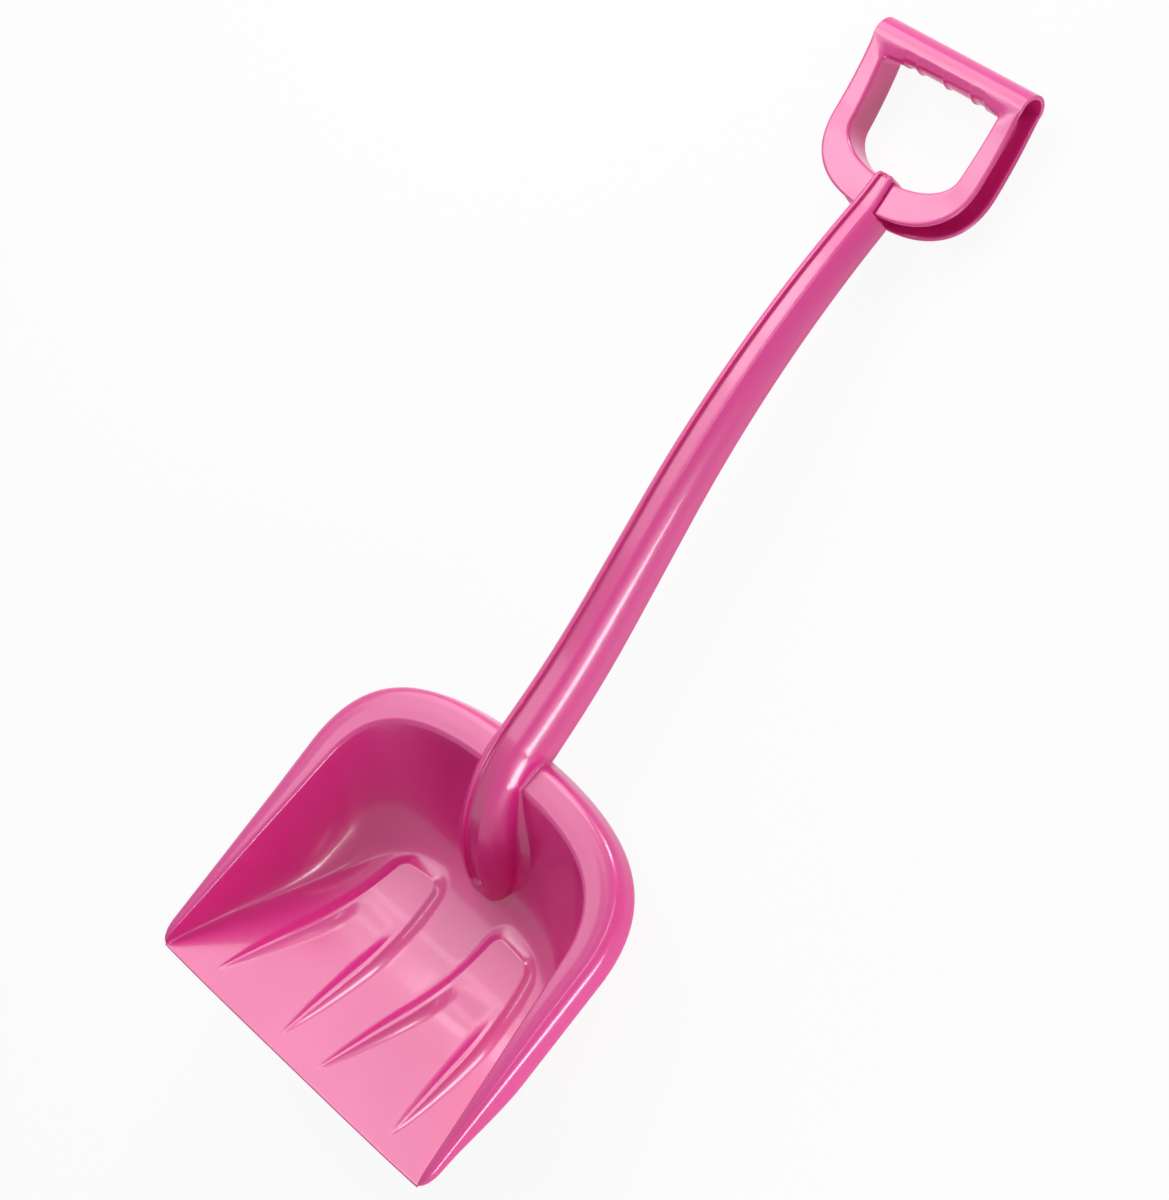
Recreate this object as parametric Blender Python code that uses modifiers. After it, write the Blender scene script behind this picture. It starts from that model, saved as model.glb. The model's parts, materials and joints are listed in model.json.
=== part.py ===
"""Kids snow shovel: a moulded scoop, an open-backed channel shaft and a D-handle, lying on its back.

The pieces are shaped in the blade frame: X across, Y from the front edge to the handle, Z up out of the
scoop, with the flat front of the floor on Z = 0. An empty then turns them into the pose at rest.
"""

import functools
import math

import bmesh
import bpy
import numpy as np

MM = 0.001

# Scoop floor
BLADE_HALF_WIDTH = 110 * MM
FRONT_LIP = 1.5 * MM
FLOOR_LENGTH = 137 * MM
FLAT_LENGTH = 62 * MM
FLOOR_REAR_HEIGHT = 27 * MM
FLOOR_CURVE_POWER = 2.3
FLOOR_CORNER = (60 * MM, FLOOR_LENGTH - 11 * MM)
FLOOR_SIDE_PULL = (95 * MM, FLOOR_LENGTH - 37 * MM)
FLOOR_REAR_POWER = 4
WALL = 2.4 * MM
FRONT_CORNER_WALL = 1.2 * MM
FULL_WALL_FROM = 40 * MM

# Scoop walls and rim: the rim lies in one sloping plane
WALL_DRAFT = math.radians(6)
WALL_FOOT_PULL = 0.8
WALL_TOP_PULL = 0.3
FLOOR_SIDE_SHARE = 0.68
RIM_FRONT_HEIGHT = 4 * MM
RIM_SLOPE = math.atan(0.65)
RIM_SIDE_LENGTH = FLOOR_LENGTH - 25 * MM
RIM_INNER_SIDE_HALF = 98 * MM
RIM_INNER_REAR = FLOOR_LENGTH + 19 * MM
RIM_FRONT_WIDTH = 4.4 * MM
RIM_OUTER_SIDE_HALF = 115.5 * MM
RIM_REAR_WIDTH = 16 * MM
RIM_INNER_CORNER_PULL = 37 * MM
RIM_OUTER_CORNER_PULL = 45 * MM
RIM_INNER_REAR_PULL = 0.56
RIM_OUTER_REAR_PULL = 0.66
RIM_SIDE_SHARE = 0.5
RIM_ROUND = 3 * MM
SKIRT_FRONT_DROP = 5 * MM
SKIRT_DROP = 14 * MM
SKIRT_FULL_FROM = 60 * MM
SKIRT_FLARE = 0.2

# Ribs on the scoop floor
RIB_START = 11 * MM
RIB_END = FLOOR_LENGTH - 10 * MM
RIB_HEIGHT = 4 * MM
RIB_FULL_FROM = 80 * MM
RIB_INNER_FRONT = 15.8 * MM
RIB_INNER_REAR = 27 * MM
RIB_OUTER_FRONT = 75.8 * MM
RIB_OUTER_REAR = 51.2 * MM
RIB_CREST_HALF = 1.1 * MM
RIB_TIP_HALF = 2.5 * MM
RIB_FOOT_HALF = 6.2 * MM
RIB_END_RAMP = 3 * MM
PLATEAU_START = RIB_END - 47 * MM
PLATEAU_FULL = RIB_END - 25 * MM

# Shaft: the nose rises from the scoop floor, passes over the rim and becomes the shaft
SEAT_GAP = 0.3 * MM
SCOOP_SEAT_GAP = 0.7 * MM
RIM_CLEAR_RUN = 4.5 * MM
SADDLE_SHARES = (0.92, 0.96, 1.0)
NOSE_LEAN = 10 * MM
NOSE_RISE = 36 * MM
NOSE_PULL = 46 * MM
SADDLE_BACK = 9 * MM
SADDLE_HEIGHT = 25.5 * MM
NOSE_TIP_HALF = 4 * MM
NOSE_WIDENS = 24 * MM
NOSE_FOOT_TILT = 16 * MM
NOSE_FOOT_PITCH = math.radians(8)
NOSE_FLARE = 7 * MM
NOSE_FLARE_RUN = 90 * MM
SHAFT_LENGTH = 328.5 * MM
SHAFT_FOOT_SLOPE = math.radians(38)
SHAFT_MIDDLE_SLOPE = math.radians(46.5)
SHAFT_TOP_SLOPE = math.radians(28)
SHAFT_STEEP_FROM = 0.27
SHAFT_STEEP_TO = 0.43
SHAFT_FOOT_HALF = 15 * MM
SHAFT_TOP_HALF = 11.3 * MM
SHAFT_FOOT_DEPTH = 26 * MM
SHAFT_TOP_DEPTH = 16.4 * MM
SHAFT_WALL = 2.4 * MM
SHOULDER_SHARE = 0.65
SHOULDER_REACH = 1.25
SHOULDER_ROUND = 0.28
LIP_FOOT_HALF = 8.3 * MM
LIP_TOP_HALF = 5.8 * MM
RECESS_SHARE = 0.86
CEILING_SHARE = 0.8
CREST_RECESS = 1.6 * MM
RECESS_START = 12 * MM
RECESS_RAMP = 6 * MM

# D-handle, in its own flat frame (across, along, out of the front face), then bent forward
HANDLE_LENGTH = 95.5 * MM
HANDLE_HALF_WIDTH = 51.5 * MM
HANDLE_HALF_DEPTH = 10 * MM
HANDLE_WALL = 2.4 * MM
HANDLE_FOOT_SLOPE = math.radians(33.5)
HANDLE_BEND = math.radians(26)
BOW_WIDTH = 19.5 * MM
LEG_WIDTH = 11.5 * MM
LEG_TAPER = 2 * MM
LEG_SHARE = 0.4
LEG_END = 40 * MM
BOW_PULL = 0.62
BOW_FLATNESS = 0.54
GRIP_RADIUS = 9.6 * MM
HOLE_CORNER = 3 * MM
FLANGE_SQUARENESS = 8
GROOVES = (10 * MM, 30 * MM)
GROOVE_HALF_WIDTH = 2.6 * MM
GROOVE_DEPTH = 1.2 * MM

# Joints: the crest laps over the bow, and a tang and a tongue plug into the shaft
CREST_LAP = 3.2 * MM
HOOK_REACH = 18 * MM
HOOK_SIDE = 1.6 * MM
HOOK_LAP_SHARES = (0.02, 0.5, 0.85)
HOOK_TIP_SHARES = (0.4, 0.75, 1.0)
HOOK_TIP_HALF = 2.2 * MM
HOOK_TIP_THICKNESS = 2 * MM
PLUG_HALF_WIDTH = 4.5 * MM
PLUG_GAP = 0.4 * MM
PLUG_DEPTH = 6 * MM
PLUG_BITE = 1.2 * MM
TANG_START = 0.34
TANG_LENGTH = 75 * MM
TONGUE_LENGTH = 50 * MM

# Pink polypropylene
PINK = (0.80, 0.10, 0.32, 1.0)
ROUGHNESS = 0.34
METALLIC = 0.0

# No wall or rounding takes more than this share of the room it has
MOST_SHARE = 0.45

# Mesh steps
RIB_ROWS = 12
WALL_STEPS = 6
ROUND_STEPS = 2
NOSE_STEPS = 32
LINE_STEPS = 60
SHAFT_STEPS = 28
RIM_STEPS = 3
STEP_SHARE = 0.001
SHOULDER_STEPS = 4
HOOK_STEPS = 4
LEG_STEPS = 16
GRIP_STEP = 2 * MM
FLANGE_STEPS = 12
FLARE_STEPS = 3
CORNER_STEPS = 6
SEARCH_STEPS = 60
WELD = 1e-6

OBJECT_NAME = "kids_snow_shovel"


def blend(start, end, share):
    """Straight blend between two values or two points."""
    return np.asarray(start) + (np.asarray(end) - np.asarray(start)) * share


def ramp(value, start, end):
    """0 before start, 1 after end and a smooth step between."""
    share = min(max((value - start) / (end - start), 0), 1)
    return share * share * (3 - 2 * share)


def bezier(points, share):
    """Point on the Bezier curve with these control points."""
    points = [np.asarray(point, float) for point in points]
    while len(points) > 1:
        points = [blend(a, b, share) for a, b in zip(points, points[1:])]
    return points[0]


def unit(vector):
    return np.asarray(vector) / np.linalg.norm(vector)


# Scoop


def floor_height(y):
    """Height of the floor's upper face: flat at the front, then curving up to the back wall."""
    share = max(y - FLAT_LENGTH, 0) / (FLOOR_LENGTH - FLAT_LENGTH)
    return FLOOR_REAR_HEIGHT * share**FLOOR_CURVE_POWER


def floor_slope(y):
    """Rise of the floor per unit of Y."""
    share = max(y - FLAT_LENGTH, 0) / (FLOOR_LENGTH - FLAT_LENGTH)
    steepest = FLOOR_REAR_HEIGHT * FLOOR_CURVE_POWER / (FLOOR_LENGTH - FLAT_LENGTH)
    return steepest * share ** (FLOOR_CURVE_POWER - 1)


def rim_height(y):
    return RIM_FRONT_HEIGHT + math.tan(RIM_SLOPE) * y


def rim_line(share, front_half, side_half, rear, pulls):
    """Plan point of a rim edge: a straight side, then one curve to the rear centre."""
    side_end = np.array([side_half, RIM_SIDE_LENGTH])
    if share < RIM_SIDE_SHARE:
        return blend((front_half, 0), side_end, share / RIM_SIDE_SHARE)
    corner_pull, rear_pull = pulls
    pulled = side_end + np.array([(side_half - front_half) / RIM_SIDE_LENGTH, 1]) * corner_pull
    curve = (side_end, pulled, (side_half * rear_pull, rear), (0, rear))
    return bezier(curve, (share - RIM_SIDE_SHARE) / (1 - RIM_SIDE_SHARE))


def rim_point(share, outer):
    """Point of the rim's inner or outer edge, in the sloping rim plane."""
    if outer:
        front_half = BLADE_HALF_WIDTH + RIM_FRONT_WIDTH
        rear = RIM_INNER_REAR + RIM_REAR_WIDTH
        pulls = (RIM_OUTER_CORNER_PULL, RIM_OUTER_REAR_PULL)
        x, y = rim_line(share, front_half, RIM_OUTER_SIDE_HALF, rear, pulls)
    else:
        pulls = (RIM_INNER_CORNER_PULL, RIM_INNER_REAR_PULL)
        x, y = rim_line(share, BLADE_HALF_WIDTH, RIM_INNER_SIDE_HALF, RIM_INNER_REAR, pulls)
    return np.array([x, y, rim_height(y)])


def wall_strip(foot, share):
    """Points from the floor's edge up the wall, over the rim and down the skirt."""
    inner = rim_point(share, False)
    outer = rim_point(share, True)
    across = unit(outer - inner)
    width = np.linalg.norm(outer - inner)
    radius = min(RIM_ROUND, MOST_SHARE * width)
    plan = np.array([*unit(inner[:2] - foot[:2] + WELD), 0])
    up = unit(plan * math.tan(WALL_DRAFT) + np.array([0, 0, 1]))
    along_floor = plan + np.array([0, 0, floor_slope(foot[1]) * plan[1]])
    wall_top = inner - up * radius
    drop = (wall_top[2] - foot[2]) * math.tan(WALL_DRAFT)
    reach = max(np.dot(wall_top - foot, plan) - drop, 0)
    corner = foot + along_floor * reach
    foot_pull = blend(foot, corner, WALL_FOOT_PULL)
    wall = (foot, foot_pull, blend(corner, wall_top, WALL_TOP_PULL), wall_top)
    points = [bezier(wall, step / WALL_STEPS) for step in range(WALL_STEPS + 1)]
    over = (wall_top, inner, inner + across * radius)
    points += [bezier(over, step / ROUND_STEPS) for step in range(1, ROUND_STEPS + 1)]
    down = np.array([0, math.sin(RIM_SLOPE), -math.cos(RIM_SLOPE)])
    down = unit(down + across * SKIRT_FLARE)
    fall = blend(SKIRT_FRONT_DROP, SKIRT_DROP, ramp(outer[1], 0, SKIRT_FULL_FROM))
    edge = (outer - across * radius, outer, outer + down * radius)
    points += [bezier(edge, step / ROUND_STEPS) for step in range(ROUND_STEPS + 1)]
    points.append(outer + down * fall)
    return points


def rib_lines(y):
    """X of the inner and outer rib crests and half of a rib's foot width at this Y."""
    share = min(max((y - RIB_START) / (RIB_END - RIB_START), 0), 1)
    inner = blend(RIB_INNER_FRONT, RIB_INNER_REAR, share)
    outer = blend(RIB_OUTER_FRONT, RIB_OUTER_REAR, share)
    foot = blend(RIB_TIP_HALF, RIB_FOOT_HALF, ramp(y, RIB_START, RIB_FULL_FROM))
    return inner, outer, foot


def floor_columns(y, side):
    """X of each floor column with its share of the rib crest height and of the plateau height."""
    inner, outer, foot = rib_lines(y)
    crest = RIB_CREST_HALF
    last = min(outer + foot, side - 2 * crest)
    middle = (inner + outer) / 2
    return (
        (0, 0, 0),
        (inner - foot, 0, 0),
        (inner - crest, 1, 0),
        (inner + crest, 1, 0),
        (inner + foot, 0, 1),
        (middle, 0, 1),
        (outer - foot, 0, 1),
        (outer - crest, 1, 0),
        (min(outer + crest, last - crest), 1, 0),
        (last, 0, 0),
        (side, 0, 0),
    )


def rib_rise(y, rib, plateau):
    """Height of the ribs above the floor in a column with these shares."""
    ends = 1 - ramp(y, RIB_END, RIB_END + RIB_END_RAMP)
    leg = rib * ramp(y, RIB_START, RIB_FULL_FROM)
    field = plateau * ramp(y, PLATEAU_START, PLATEAU_FULL)
    return RIB_HEIGHT * max(leg, field) * ends


def floor_row_starts():
    """Y of each floor row on the centre line, with rows on the ends of the ribs."""
    ribs = np.linspace(RIB_START, RIB_END, RIB_ROWS)
    after = RIB_END + RIB_END_RAMP
    return [-FRONT_LIP, *ribs, after, (after + FLOOR_LENGTH) / 2, FLOOR_LENGTH]


def floor_rows():
    """Rows of (point without ribs, rib height) from the front edge to the back wall."""
    rows = []
    starts = floor_row_starts()
    side_curve = ((BLADE_HALF_WIDTH, 0), FLOOR_SIDE_PULL, FLOOR_CORNER)
    for start in starts:
        side_x, side_y = bezier(side_curve, max(start, 0) / FLOOR_LENGTH)
        row = []
        for x, rib, plateau in floor_columns(start, side_x):
            y = blend(start, side_y, (x / side_x) ** FLOOR_REAR_POWER)
            row.append((np.array([x, y, floor_height(y)]), rib_rise(start, rib, plateau)))
        rows.append(row)
    return rows


def grid_normals(grid):
    """Unit normals of a grid of points, level across the mirror plane."""
    grid = np.asarray(grid)
    along = np.gradient(grid, axis=0)
    across = np.gradient(grid, axis=1)
    normals = np.cross(across, along)
    normals[np.abs(grid[..., 0]) < WELD, 0] = 0
    return normals / np.linalg.norm(normals, axis=2, keepdims=True)


def scoop_wall_at(y):
    """Wall thickness of the side walls and rim, thinner at the front corners."""
    return blend(FRONT_CORNER_WALL, WALL, ramp(y, 0, FULL_WALL_FROM))


def add_grid(mesh, grid):
    """Adds the faces of a grid of points."""
    rows = [[mesh.verts.new(point) for point in row] for row in grid]
    for near, far in zip(rows, rows[1:]):
        for corners in zip(near, near[1:], far[1:], far):
            mesh.faces.new(corners)


def make_scoop_half(mesh):
    """Upper face with the ribs, underside without them, and the edges between."""
    rows = floor_rows()
    floor = [[point for point, rise in row] for row in rows]
    feet = [row[-1] for row in floor] + floor[-1][-2::-1]
    shares = [FLOOR_SIDE_SHARE * foot / (len(floor) - 1) for foot in range(len(floor))]
    corner = FLOOR_CORNER[0]
    shares += [1 - (1 - FLOOR_SIDE_SHARE) * foot[0] / corner for foot in feet[len(floor) :]]
    strips = [wall_strip(foot, share) for foot, share in zip(feet, shares)]
    floor_up = [[unit((0, -floor_slope(p[1]), 1)) for p in row] for row in floor]
    strip_out = -grid_normals(strips)
    top = [
        [point + up * rise for (point, rise), up in zip(row, ups)]
        for row, ups in zip(rows, floor_up)
    ]
    bottom = [[p - up * WALL for p, up in zip(row, ups)] for row, ups in zip(floor, floor_up)]
    for row, ups, line in zip(floor, floor_up, bottom):
        line[-1] = row[-1] - ups[-1] * scoop_wall_at(row[-1][1])
    under = []
    for strip, normals in zip(strips, strip_out):
        wall = scoop_wall_at(strip[0][1])
        under.append([point + normal * wall for point, normal in zip(strip, normals)])
    edge = [line[-1] for line in bottom] + bottom[-1][-2::-1]
    for line, start in zip(under, edge):
        line[0] = start
    add_grid(mesh, top)
    add_grid(mesh, bottom)
    add_grid(mesh, strips)
    add_grid(mesh, under)
    add_grid(mesh, [top[0], bottom[0]])
    add_grid(mesh, [strips[0], under[0]])
    add_grid(mesh, [[s[-1] for s in strips], [u[-1] for u in under]])


# Shaft


@functools.cache
def rear_profiles():
    """Y and Z of the scoop's upper face behind the shaft, on the centre line and towards its flanks."""
    floor = [(y, floor_height(y)) for y in np.linspace(FLAT_LENGTH, FLOOR_LENGTH, RIB_ROWS)]
    foot = np.array([0, FLOOR_LENGTH, floor_height(FLOOR_LENGTH)])
    profiles = []
    for share in SADDLE_SHARES:
        outer = rim_point(share, True)[1]
        band = [(y, rim_height(y)) for y in (outer, outer + RIM_CLEAR_RUN)]
        wall = [(point[1], point[2]) for point in wall_strip(foot, share)[1 : -ROUND_STEPS - 2]]
        profiles.append(np.array(floor + wall + band))
    return profiles


def distance_to(profiles, start, direction):
    """How far a ray runs before it meets one of the profiles, or infinity."""
    nearest = math.inf
    for a, b in ((a, b) for profile in profiles for a, b in zip(profile, profile[1:])):
        run = b - a
        across = direction[0] * run[1] - direction[1] * run[0]
        if abs(across) < WELD * WELD:
            continue
        gap = a - start
        along_ray = (gap[0] * run[1] - gap[1] * run[0]) / across
        along_run = (gap[0] * direction[1] - gap[1] * direction[0]) / across
        if along_ray > 0 and 0 <= along_run <= 1:
            nearest = min(nearest, along_ray)
    return nearest


def shaft_slope(share):
    """Slope of the shaft: steepest part way up, then lying back towards the handle."""
    if share < SHAFT_STEEP_TO:
        return blend(SHAFT_FOOT_SLOPE, SHAFT_MIDDLE_SLOPE, ramp(share, 0, SHAFT_STEEP_FROM))
    part = (share - SHAFT_STEEP_TO) / (1 - SHAFT_STEEP_TO)
    return blend(SHAFT_MIDDLE_SLOPE, SHAFT_TOP_SLOPE, part)


@functools.cache
def nose_line():
    """Crest of the nose in Y and Z, from the floor to the point above the rim."""
    start = FLOOR_LENGTH - 2 * SCOOP_SEAT_GAP
    foot = np.array([start, floor_height(start) + SCOOP_SEAT_GAP])
    rim = np.array([RIM_INNER_REAR, rim_height(RIM_INNER_REAR)])
    saddle = rim + (SADDLE_BACK, SADDLE_HEIGHT)
    slope = np.array([math.cos(SHAFT_FOOT_SLOPE), math.sin(SHAFT_FOOT_SLOPE)])
    curve = (foot, foot + (-NOSE_LEAN, NOSE_RISE), saddle - slope * NOSE_PULL, saddle)
    return [bezier(curve, step / NOSE_STEPS) for step in range(NOSE_STEPS + 1)]


@functools.cache
def shaft_point(share):
    """Crest of the shaft in Y and Z at this share of its length, as a sum of short steps."""
    slopes = [shaft_slope(share * (step + 0.5) / LINE_STEPS) for step in range(LINE_STEPS)]
    run = SHAFT_LENGTH * share / LINE_STEPS
    return nose_line()[-1] + run * np.array([np.cos(slopes).sum(), np.sin(slopes).sum()])


def depth_to_scoop(crest, slope):
    """How deep a section square to this slope may be before it meets the scoop."""
    into = -slope_normal(slope)
    return distance_to(rear_profiles(), crest, into) - SCOOP_SEAT_GAP


def rim_clear_share():
    """Share of the shaft's length at which its sections pass behind the rim."""
    low, high = 0.0, 0.5
    for step in range(SEARCH_STEPS):
        share = (low + high) / 2
        if math.isinf(depth_to_scoop(shaft_point(share), shaft_slope(share))):
            high = share
        else:
            low = share
    return high


def shaft_shares():
    """Shares of the shaft's length that get a section, two of them close together behind the rim."""
    clear = rim_clear_share()
    over_rim = np.linspace(0, clear - STEP_SHARE, RIM_STEPS)
    return [*over_rim, *np.linspace(clear, 1, SHAFT_STEPS)]


class Station:
    """One cross-section of the shaft: crest point, direction into the depth, and sizes.

    The depth is what the scoop leaves of the full depth, which still shapes the shoulder.
    """

    def __init__(self, crest, angle, depth, full, half, lip, recess, flare=0):
        self.crest = crest
        self.into = np.array([math.cos(angle), math.sin(angle)])
        self.depth = depth
        self.full = full
        self.half = half
        self.lip = lip
        self.recess = recess
        self.flare = flare

    def place(self, x, depth):
        y, z = self.crest + self.into * depth
        return np.array([x, y, z])


def slopes_along(line):
    """Slope angle at each point of a line in Y and Z."""
    steps = np.gradient(np.asarray(line), axis=0)
    return np.arctan2(steps[:, 1], steps[:, 0])


def nose_stations():
    """Sections of the nose, each as deep as the way to the scoop's face allows."""
    line = nose_line()
    slopes = slopes_along(line)
    slopes[-1] = SHAFT_FOOT_SLOPE
    foot_angle = math.atan(floor_slope(line[0][1])) + NOSE_FOOT_PITCH
    stations = []
    run = 0
    for index, crest in enumerate(line[:-1]):
        if index:
            run += np.linalg.norm(crest - line[index - 1])
        square = slopes[index] - math.pi / 2
        angle = blend(foot_angle, square, ramp(run, 0, NOSE_FOOT_TILT))
        depth = min(depth_to_scoop(crest, angle + math.pi / 2), SHAFT_FOOT_DEPTH)
        recess = CREST_RECESS * ramp(run, RECESS_START, RECESS_START + RECESS_RAMP)
        swell = math.sqrt(1 - (1 - min(run / NOSE_WIDENS, 1)) ** 2)
        half = blend(NOSE_TIP_HALF, SHAFT_FOOT_HALF, swell)
        lip = LIP_FOOT_HALF * half / SHAFT_FOOT_HALF
        flare = NOSE_FLARE * math.sin(math.pi * min(run / NOSE_FLARE_RUN, 1))
        stations.append(Station(crest, angle, depth, SHAFT_FOOT_DEPTH, half, lip, recess, flare))
    return stations


def shaft_stations(start=0, end=1):
    """Sections of the shaft between two shares of its length, counted from above the rim."""
    stations = []
    for share in shaft_shares():
        if not start <= share <= end:
            continue
        crest = shaft_point(share)
        slope = shaft_slope(share)
        full = blend(SHAFT_FOOT_DEPTH, SHAFT_TOP_DEPTH, share)
        depth = min(full, depth_to_scoop(crest, slope))
        half = blend(SHAFT_FOOT_HALF, SHAFT_TOP_HALF, share)
        lip = blend(LIP_FOOT_HALF, LIP_TOP_HALF, share)
        stations.append(Station(crest, slope - math.pi / 2, depth, full, half, lip, CREST_RECESS))
    return stations


def handle_place(along, out):
    """Y and Z of a point of the bent handle, from its distances along the face and out of it."""
    foot = HANDLE_FOOT_SLOPE
    start = shaft_point(1) - (HANDLE_HALF_DEPTH + CREST_LAP) * slope_normal(foot)
    radius = HANDLE_LENGTH / HANDLE_BEND
    turn = foot + HANDLE_BEND * along / HANDLE_LENGTH
    arc = radius * np.array([math.sin(turn) - math.sin(foot), math.cos(foot) - math.cos(turn)])
    return start + arc + out * slope_normal(turn)


def slope_normal(slope):
    """Unit vector out of the front face at this slope."""
    return np.array([-math.sin(slope), math.cos(slope)])


def hook_stations():
    """Sections of the crest's end, which laps over the bow and hooks into the hand hole."""
    stations = []
    thick = CREST_LAP - SEAT_GAP
    face = HANDLE_HALF_DEPTH + CREST_LAP
    lip = LIP_TOP_HALF
    half = lip + HOOK_SIDE

    def add(crest, foot, half_width, recess):
        into = foot - crest
        angle = math.atan2(into[1], into[0])
        size = min(half_width - RIB_CREST_HALF, lip)
        depth = np.linalg.norm(into)
        stations.append(Station(crest, angle, depth, depth, half_width, size, recess))

    for share in HOOK_LAP_SHARES:
        along = BOW_WIDTH * share
        recess = CREST_RECESS * (1 - share)
        add(handle_place(along, face), handle_place(along, face - thick), half, recess)
    pivot = (BOW_WIDTH + SEAT_GAP, HANDLE_HALF_DEPTH + SEAT_GAP)
    for step in range(HOOK_STEPS + 1):
        turn = math.pi / 2 * step / HOOK_STEPS
        crest = handle_place(pivot[0] + thick * math.sin(turn), pivot[1] + thick * math.cos(turn))
        add(crest, handle_place(*pivot), half, 0)
    for share in HOOK_TIP_SHARES:
        out = pivot[1] - HOOK_REACH * share
        size = blend(thick, HOOK_TIP_THICKNESS, share)
        width = blend(half, HOOK_TIP_HALF, share)
        add(handle_place(pivot[0] + size, out), handle_place(pivot[0], out), width, 0)
    return stations


def shoulder_points(lip, half, top, depth):
    """Rounded shoulder from the lip down to the flank."""
    share = SHOULDER_SHARE * (depth - top)
    knee = (lip + SHOULDER_ROUND * (half - lip), top)
    curve = ((lip, top), knee, (half, top + share / 2), (half, top + share))
    return [bezier(curve, step / SHOULDER_STEPS) for step in range(SHOULDER_STEPS + 1)]


def half_section(station, wall):
    """Half outline of an inverted U: recessed crest, shoulder, flared flank, then the inside."""
    half, lip, depth = station.half, station.lip, station.depth
    outer = [(0, station.recess), (lip * RECESS_SHARE, station.recess), (lip, 0)]
    outer += shoulder_points(lip, half, 0, min(station.full, SHOULDER_REACH * depth))[1:]
    flank = (outer[-1], (half, depth), (half + station.flare, depth))
    outer += [bezier(flank, step / FLARE_STEPS) for step in range(1, FLARE_STEPS + 1)]
    ceiling = min(CREST_RECESS + wall, depth - wall * MOST_SHARE)
    inside = half - wall
    inner = shoulder_points(min(lip, inside) * CEILING_SHARE, inside, ceiling, depth)
    lining = [bezier(((inside, depth), inner[-1]), step / FLARE_STEPS) for step in range(FLARE_STEPS)]
    return outer + lining + inner[::-1] + [(0, ceiling)]


def make_shaft_half(mesh):
    """Loft of the sections from the nose to the hook, closed at both ends."""
    stations = nose_stations() + shaft_stations()
    sections = [[s.place(x, d) for x, d in half_section(s, SHAFT_WALL)] for s in stations]
    for station in hook_stations():
        wall = min(SHAFT_WALL, MOST_SHARE * station.half, MOST_SHARE * station.depth)
        sections.append([station.place(x, d) for x, d in half_section(station, wall)])
    add_grid(mesh, sections)
    split = len(sections[0]) // 2
    for section in (sections[0], sections[-1]):
        add_grid(mesh, [section[: split + 1], section[: split - 1 : -1]])


# D-handle


def hole_point(share):
    """Edge of the hand hole below the grip, from the top of the leg round to the bow's centre."""
    side = HANDLE_HALF_WIDTH - LEG_WIDTH
    top = HANDLE_LENGTH - 2 * GRIP_RADIUS - HOLE_CORNER
    low = side - LEG_TAPER
    if share < LEG_SHARE:
        return blend((side, top), (low, LEG_END), share / LEG_SHARE)
    pulled = blend(LEG_END, BOW_WIDTH, BOW_PULL)
    curve = ((low, LEG_END), (low, pulled), (low * BOW_FLATNESS, BOW_WIDTH), (0, BOW_WIDTH))
    return bezier(curve, (share - LEG_SHARE) / (1 - LEG_SHARE))


def outer_point(share):
    """Outer edge of the flanges opposite hole_point."""
    side = HANDLE_HALF_WIDTH
    top = HANDLE_LENGTH - 2 * GRIP_RADIUS - HOLE_CORNER
    if share < LEG_SHARE:
        return blend((side, top), (side, LEG_END), share / LEG_SHARE)
    curve = ((side, LEG_END), (side, LEG_END * (1 - BOW_PULL)), (side * BOW_FLATNESS, 0), (0, 0))
    return bezier(curve, (share - LEG_SHARE) / (1 - LEG_SHARE))


def groove(x):
    """Depth of the finger grooves in the underside of the grip at this X."""
    near = min(abs(x - centre) for centre in GROOVES)
    return GROOVE_DEPTH * (1 - ramp(near, 0, GROOVE_HALF_WIDTH))


def loop_stations():
    """Hole edge, outer edge, squareness and whether the grip's arch stands on it, from grip to bow."""
    axis = HANDLE_LENGTH - GRIP_RADIUS
    hole_top = axis - GRIP_RADIUS
    side = HANDLE_HALF_WIDTH - LEG_WIDTH
    corner_x = side - HOLE_CORNER
    stations = []
    for x in np.linspace(0, corner_x, int(corner_x / GRIP_STEP)):
        stations.append(((x, hole_top + groove(x)), (x, axis), 2, True))
    leg_top = hole_top - HOLE_CORNER
    half_way = CORNER_STEPS // 2
    for step in range(1, CORNER_STEPS):
        turn = math.pi / 2 * step / CORNER_STEPS
        inner = (corner_x + HOLE_CORNER * math.sin(turn), leg_top + HOLE_CORNER * math.cos(turn))
        on_top = step <= half_way
        if on_top:
            outer = (blend(corner_x, HANDLE_HALF_WIDTH, step / half_way), axis)
        else:
            outer = (HANDLE_HALF_WIDTH, blend(axis, leg_top, step / half_way - 1))
        square = blend(2, FLANGE_SQUARENESS, step / CORNER_STEPS)
        stations.append((inner, outer, square, on_top))
    for step in range(LEG_STEPS + 1):
        share = step / LEG_STEPS
        stations.append((hole_point(share), outer_point(share), FLANGE_SQUARENESS, False))
    return stations


def half_turn():
    """Cosine and sine at each step of half a turn, exactly zero where they should be."""
    for step in range(FLANGE_STEPS + 1):
        turn = math.pi * step / FLANGE_STEPS
        cosine = 0 if 2 * step == FLANGE_STEPS else math.cos(turn)
        sine = 0 if step in (0, FLANGE_STEPS) else math.sin(turn)
        yield cosine, sine


def channel(inner, outer, square, wall):
    """Points round one side of the channel section, from front edge to rear edge by way of the hole."""
    inner, outer = np.asarray(inner), np.asarray(outer)
    width = np.linalg.norm(outer - inner)
    points = []
    for cosine, sine in half_turn():
        side = math.copysign(abs(cosine) ** (2 / square), cosine)
        depth = sine ** (2 / square)
        x, along = blend(outer, inner, depth * (width - wall) / width)
        points.append(handle_point(x, along, (HANDLE_HALF_DEPTH - wall) * side))
    return points


def handle_point(x, along, out):
    y, z = handle_place(along, out)
    return np.array([x, y, z])


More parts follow.
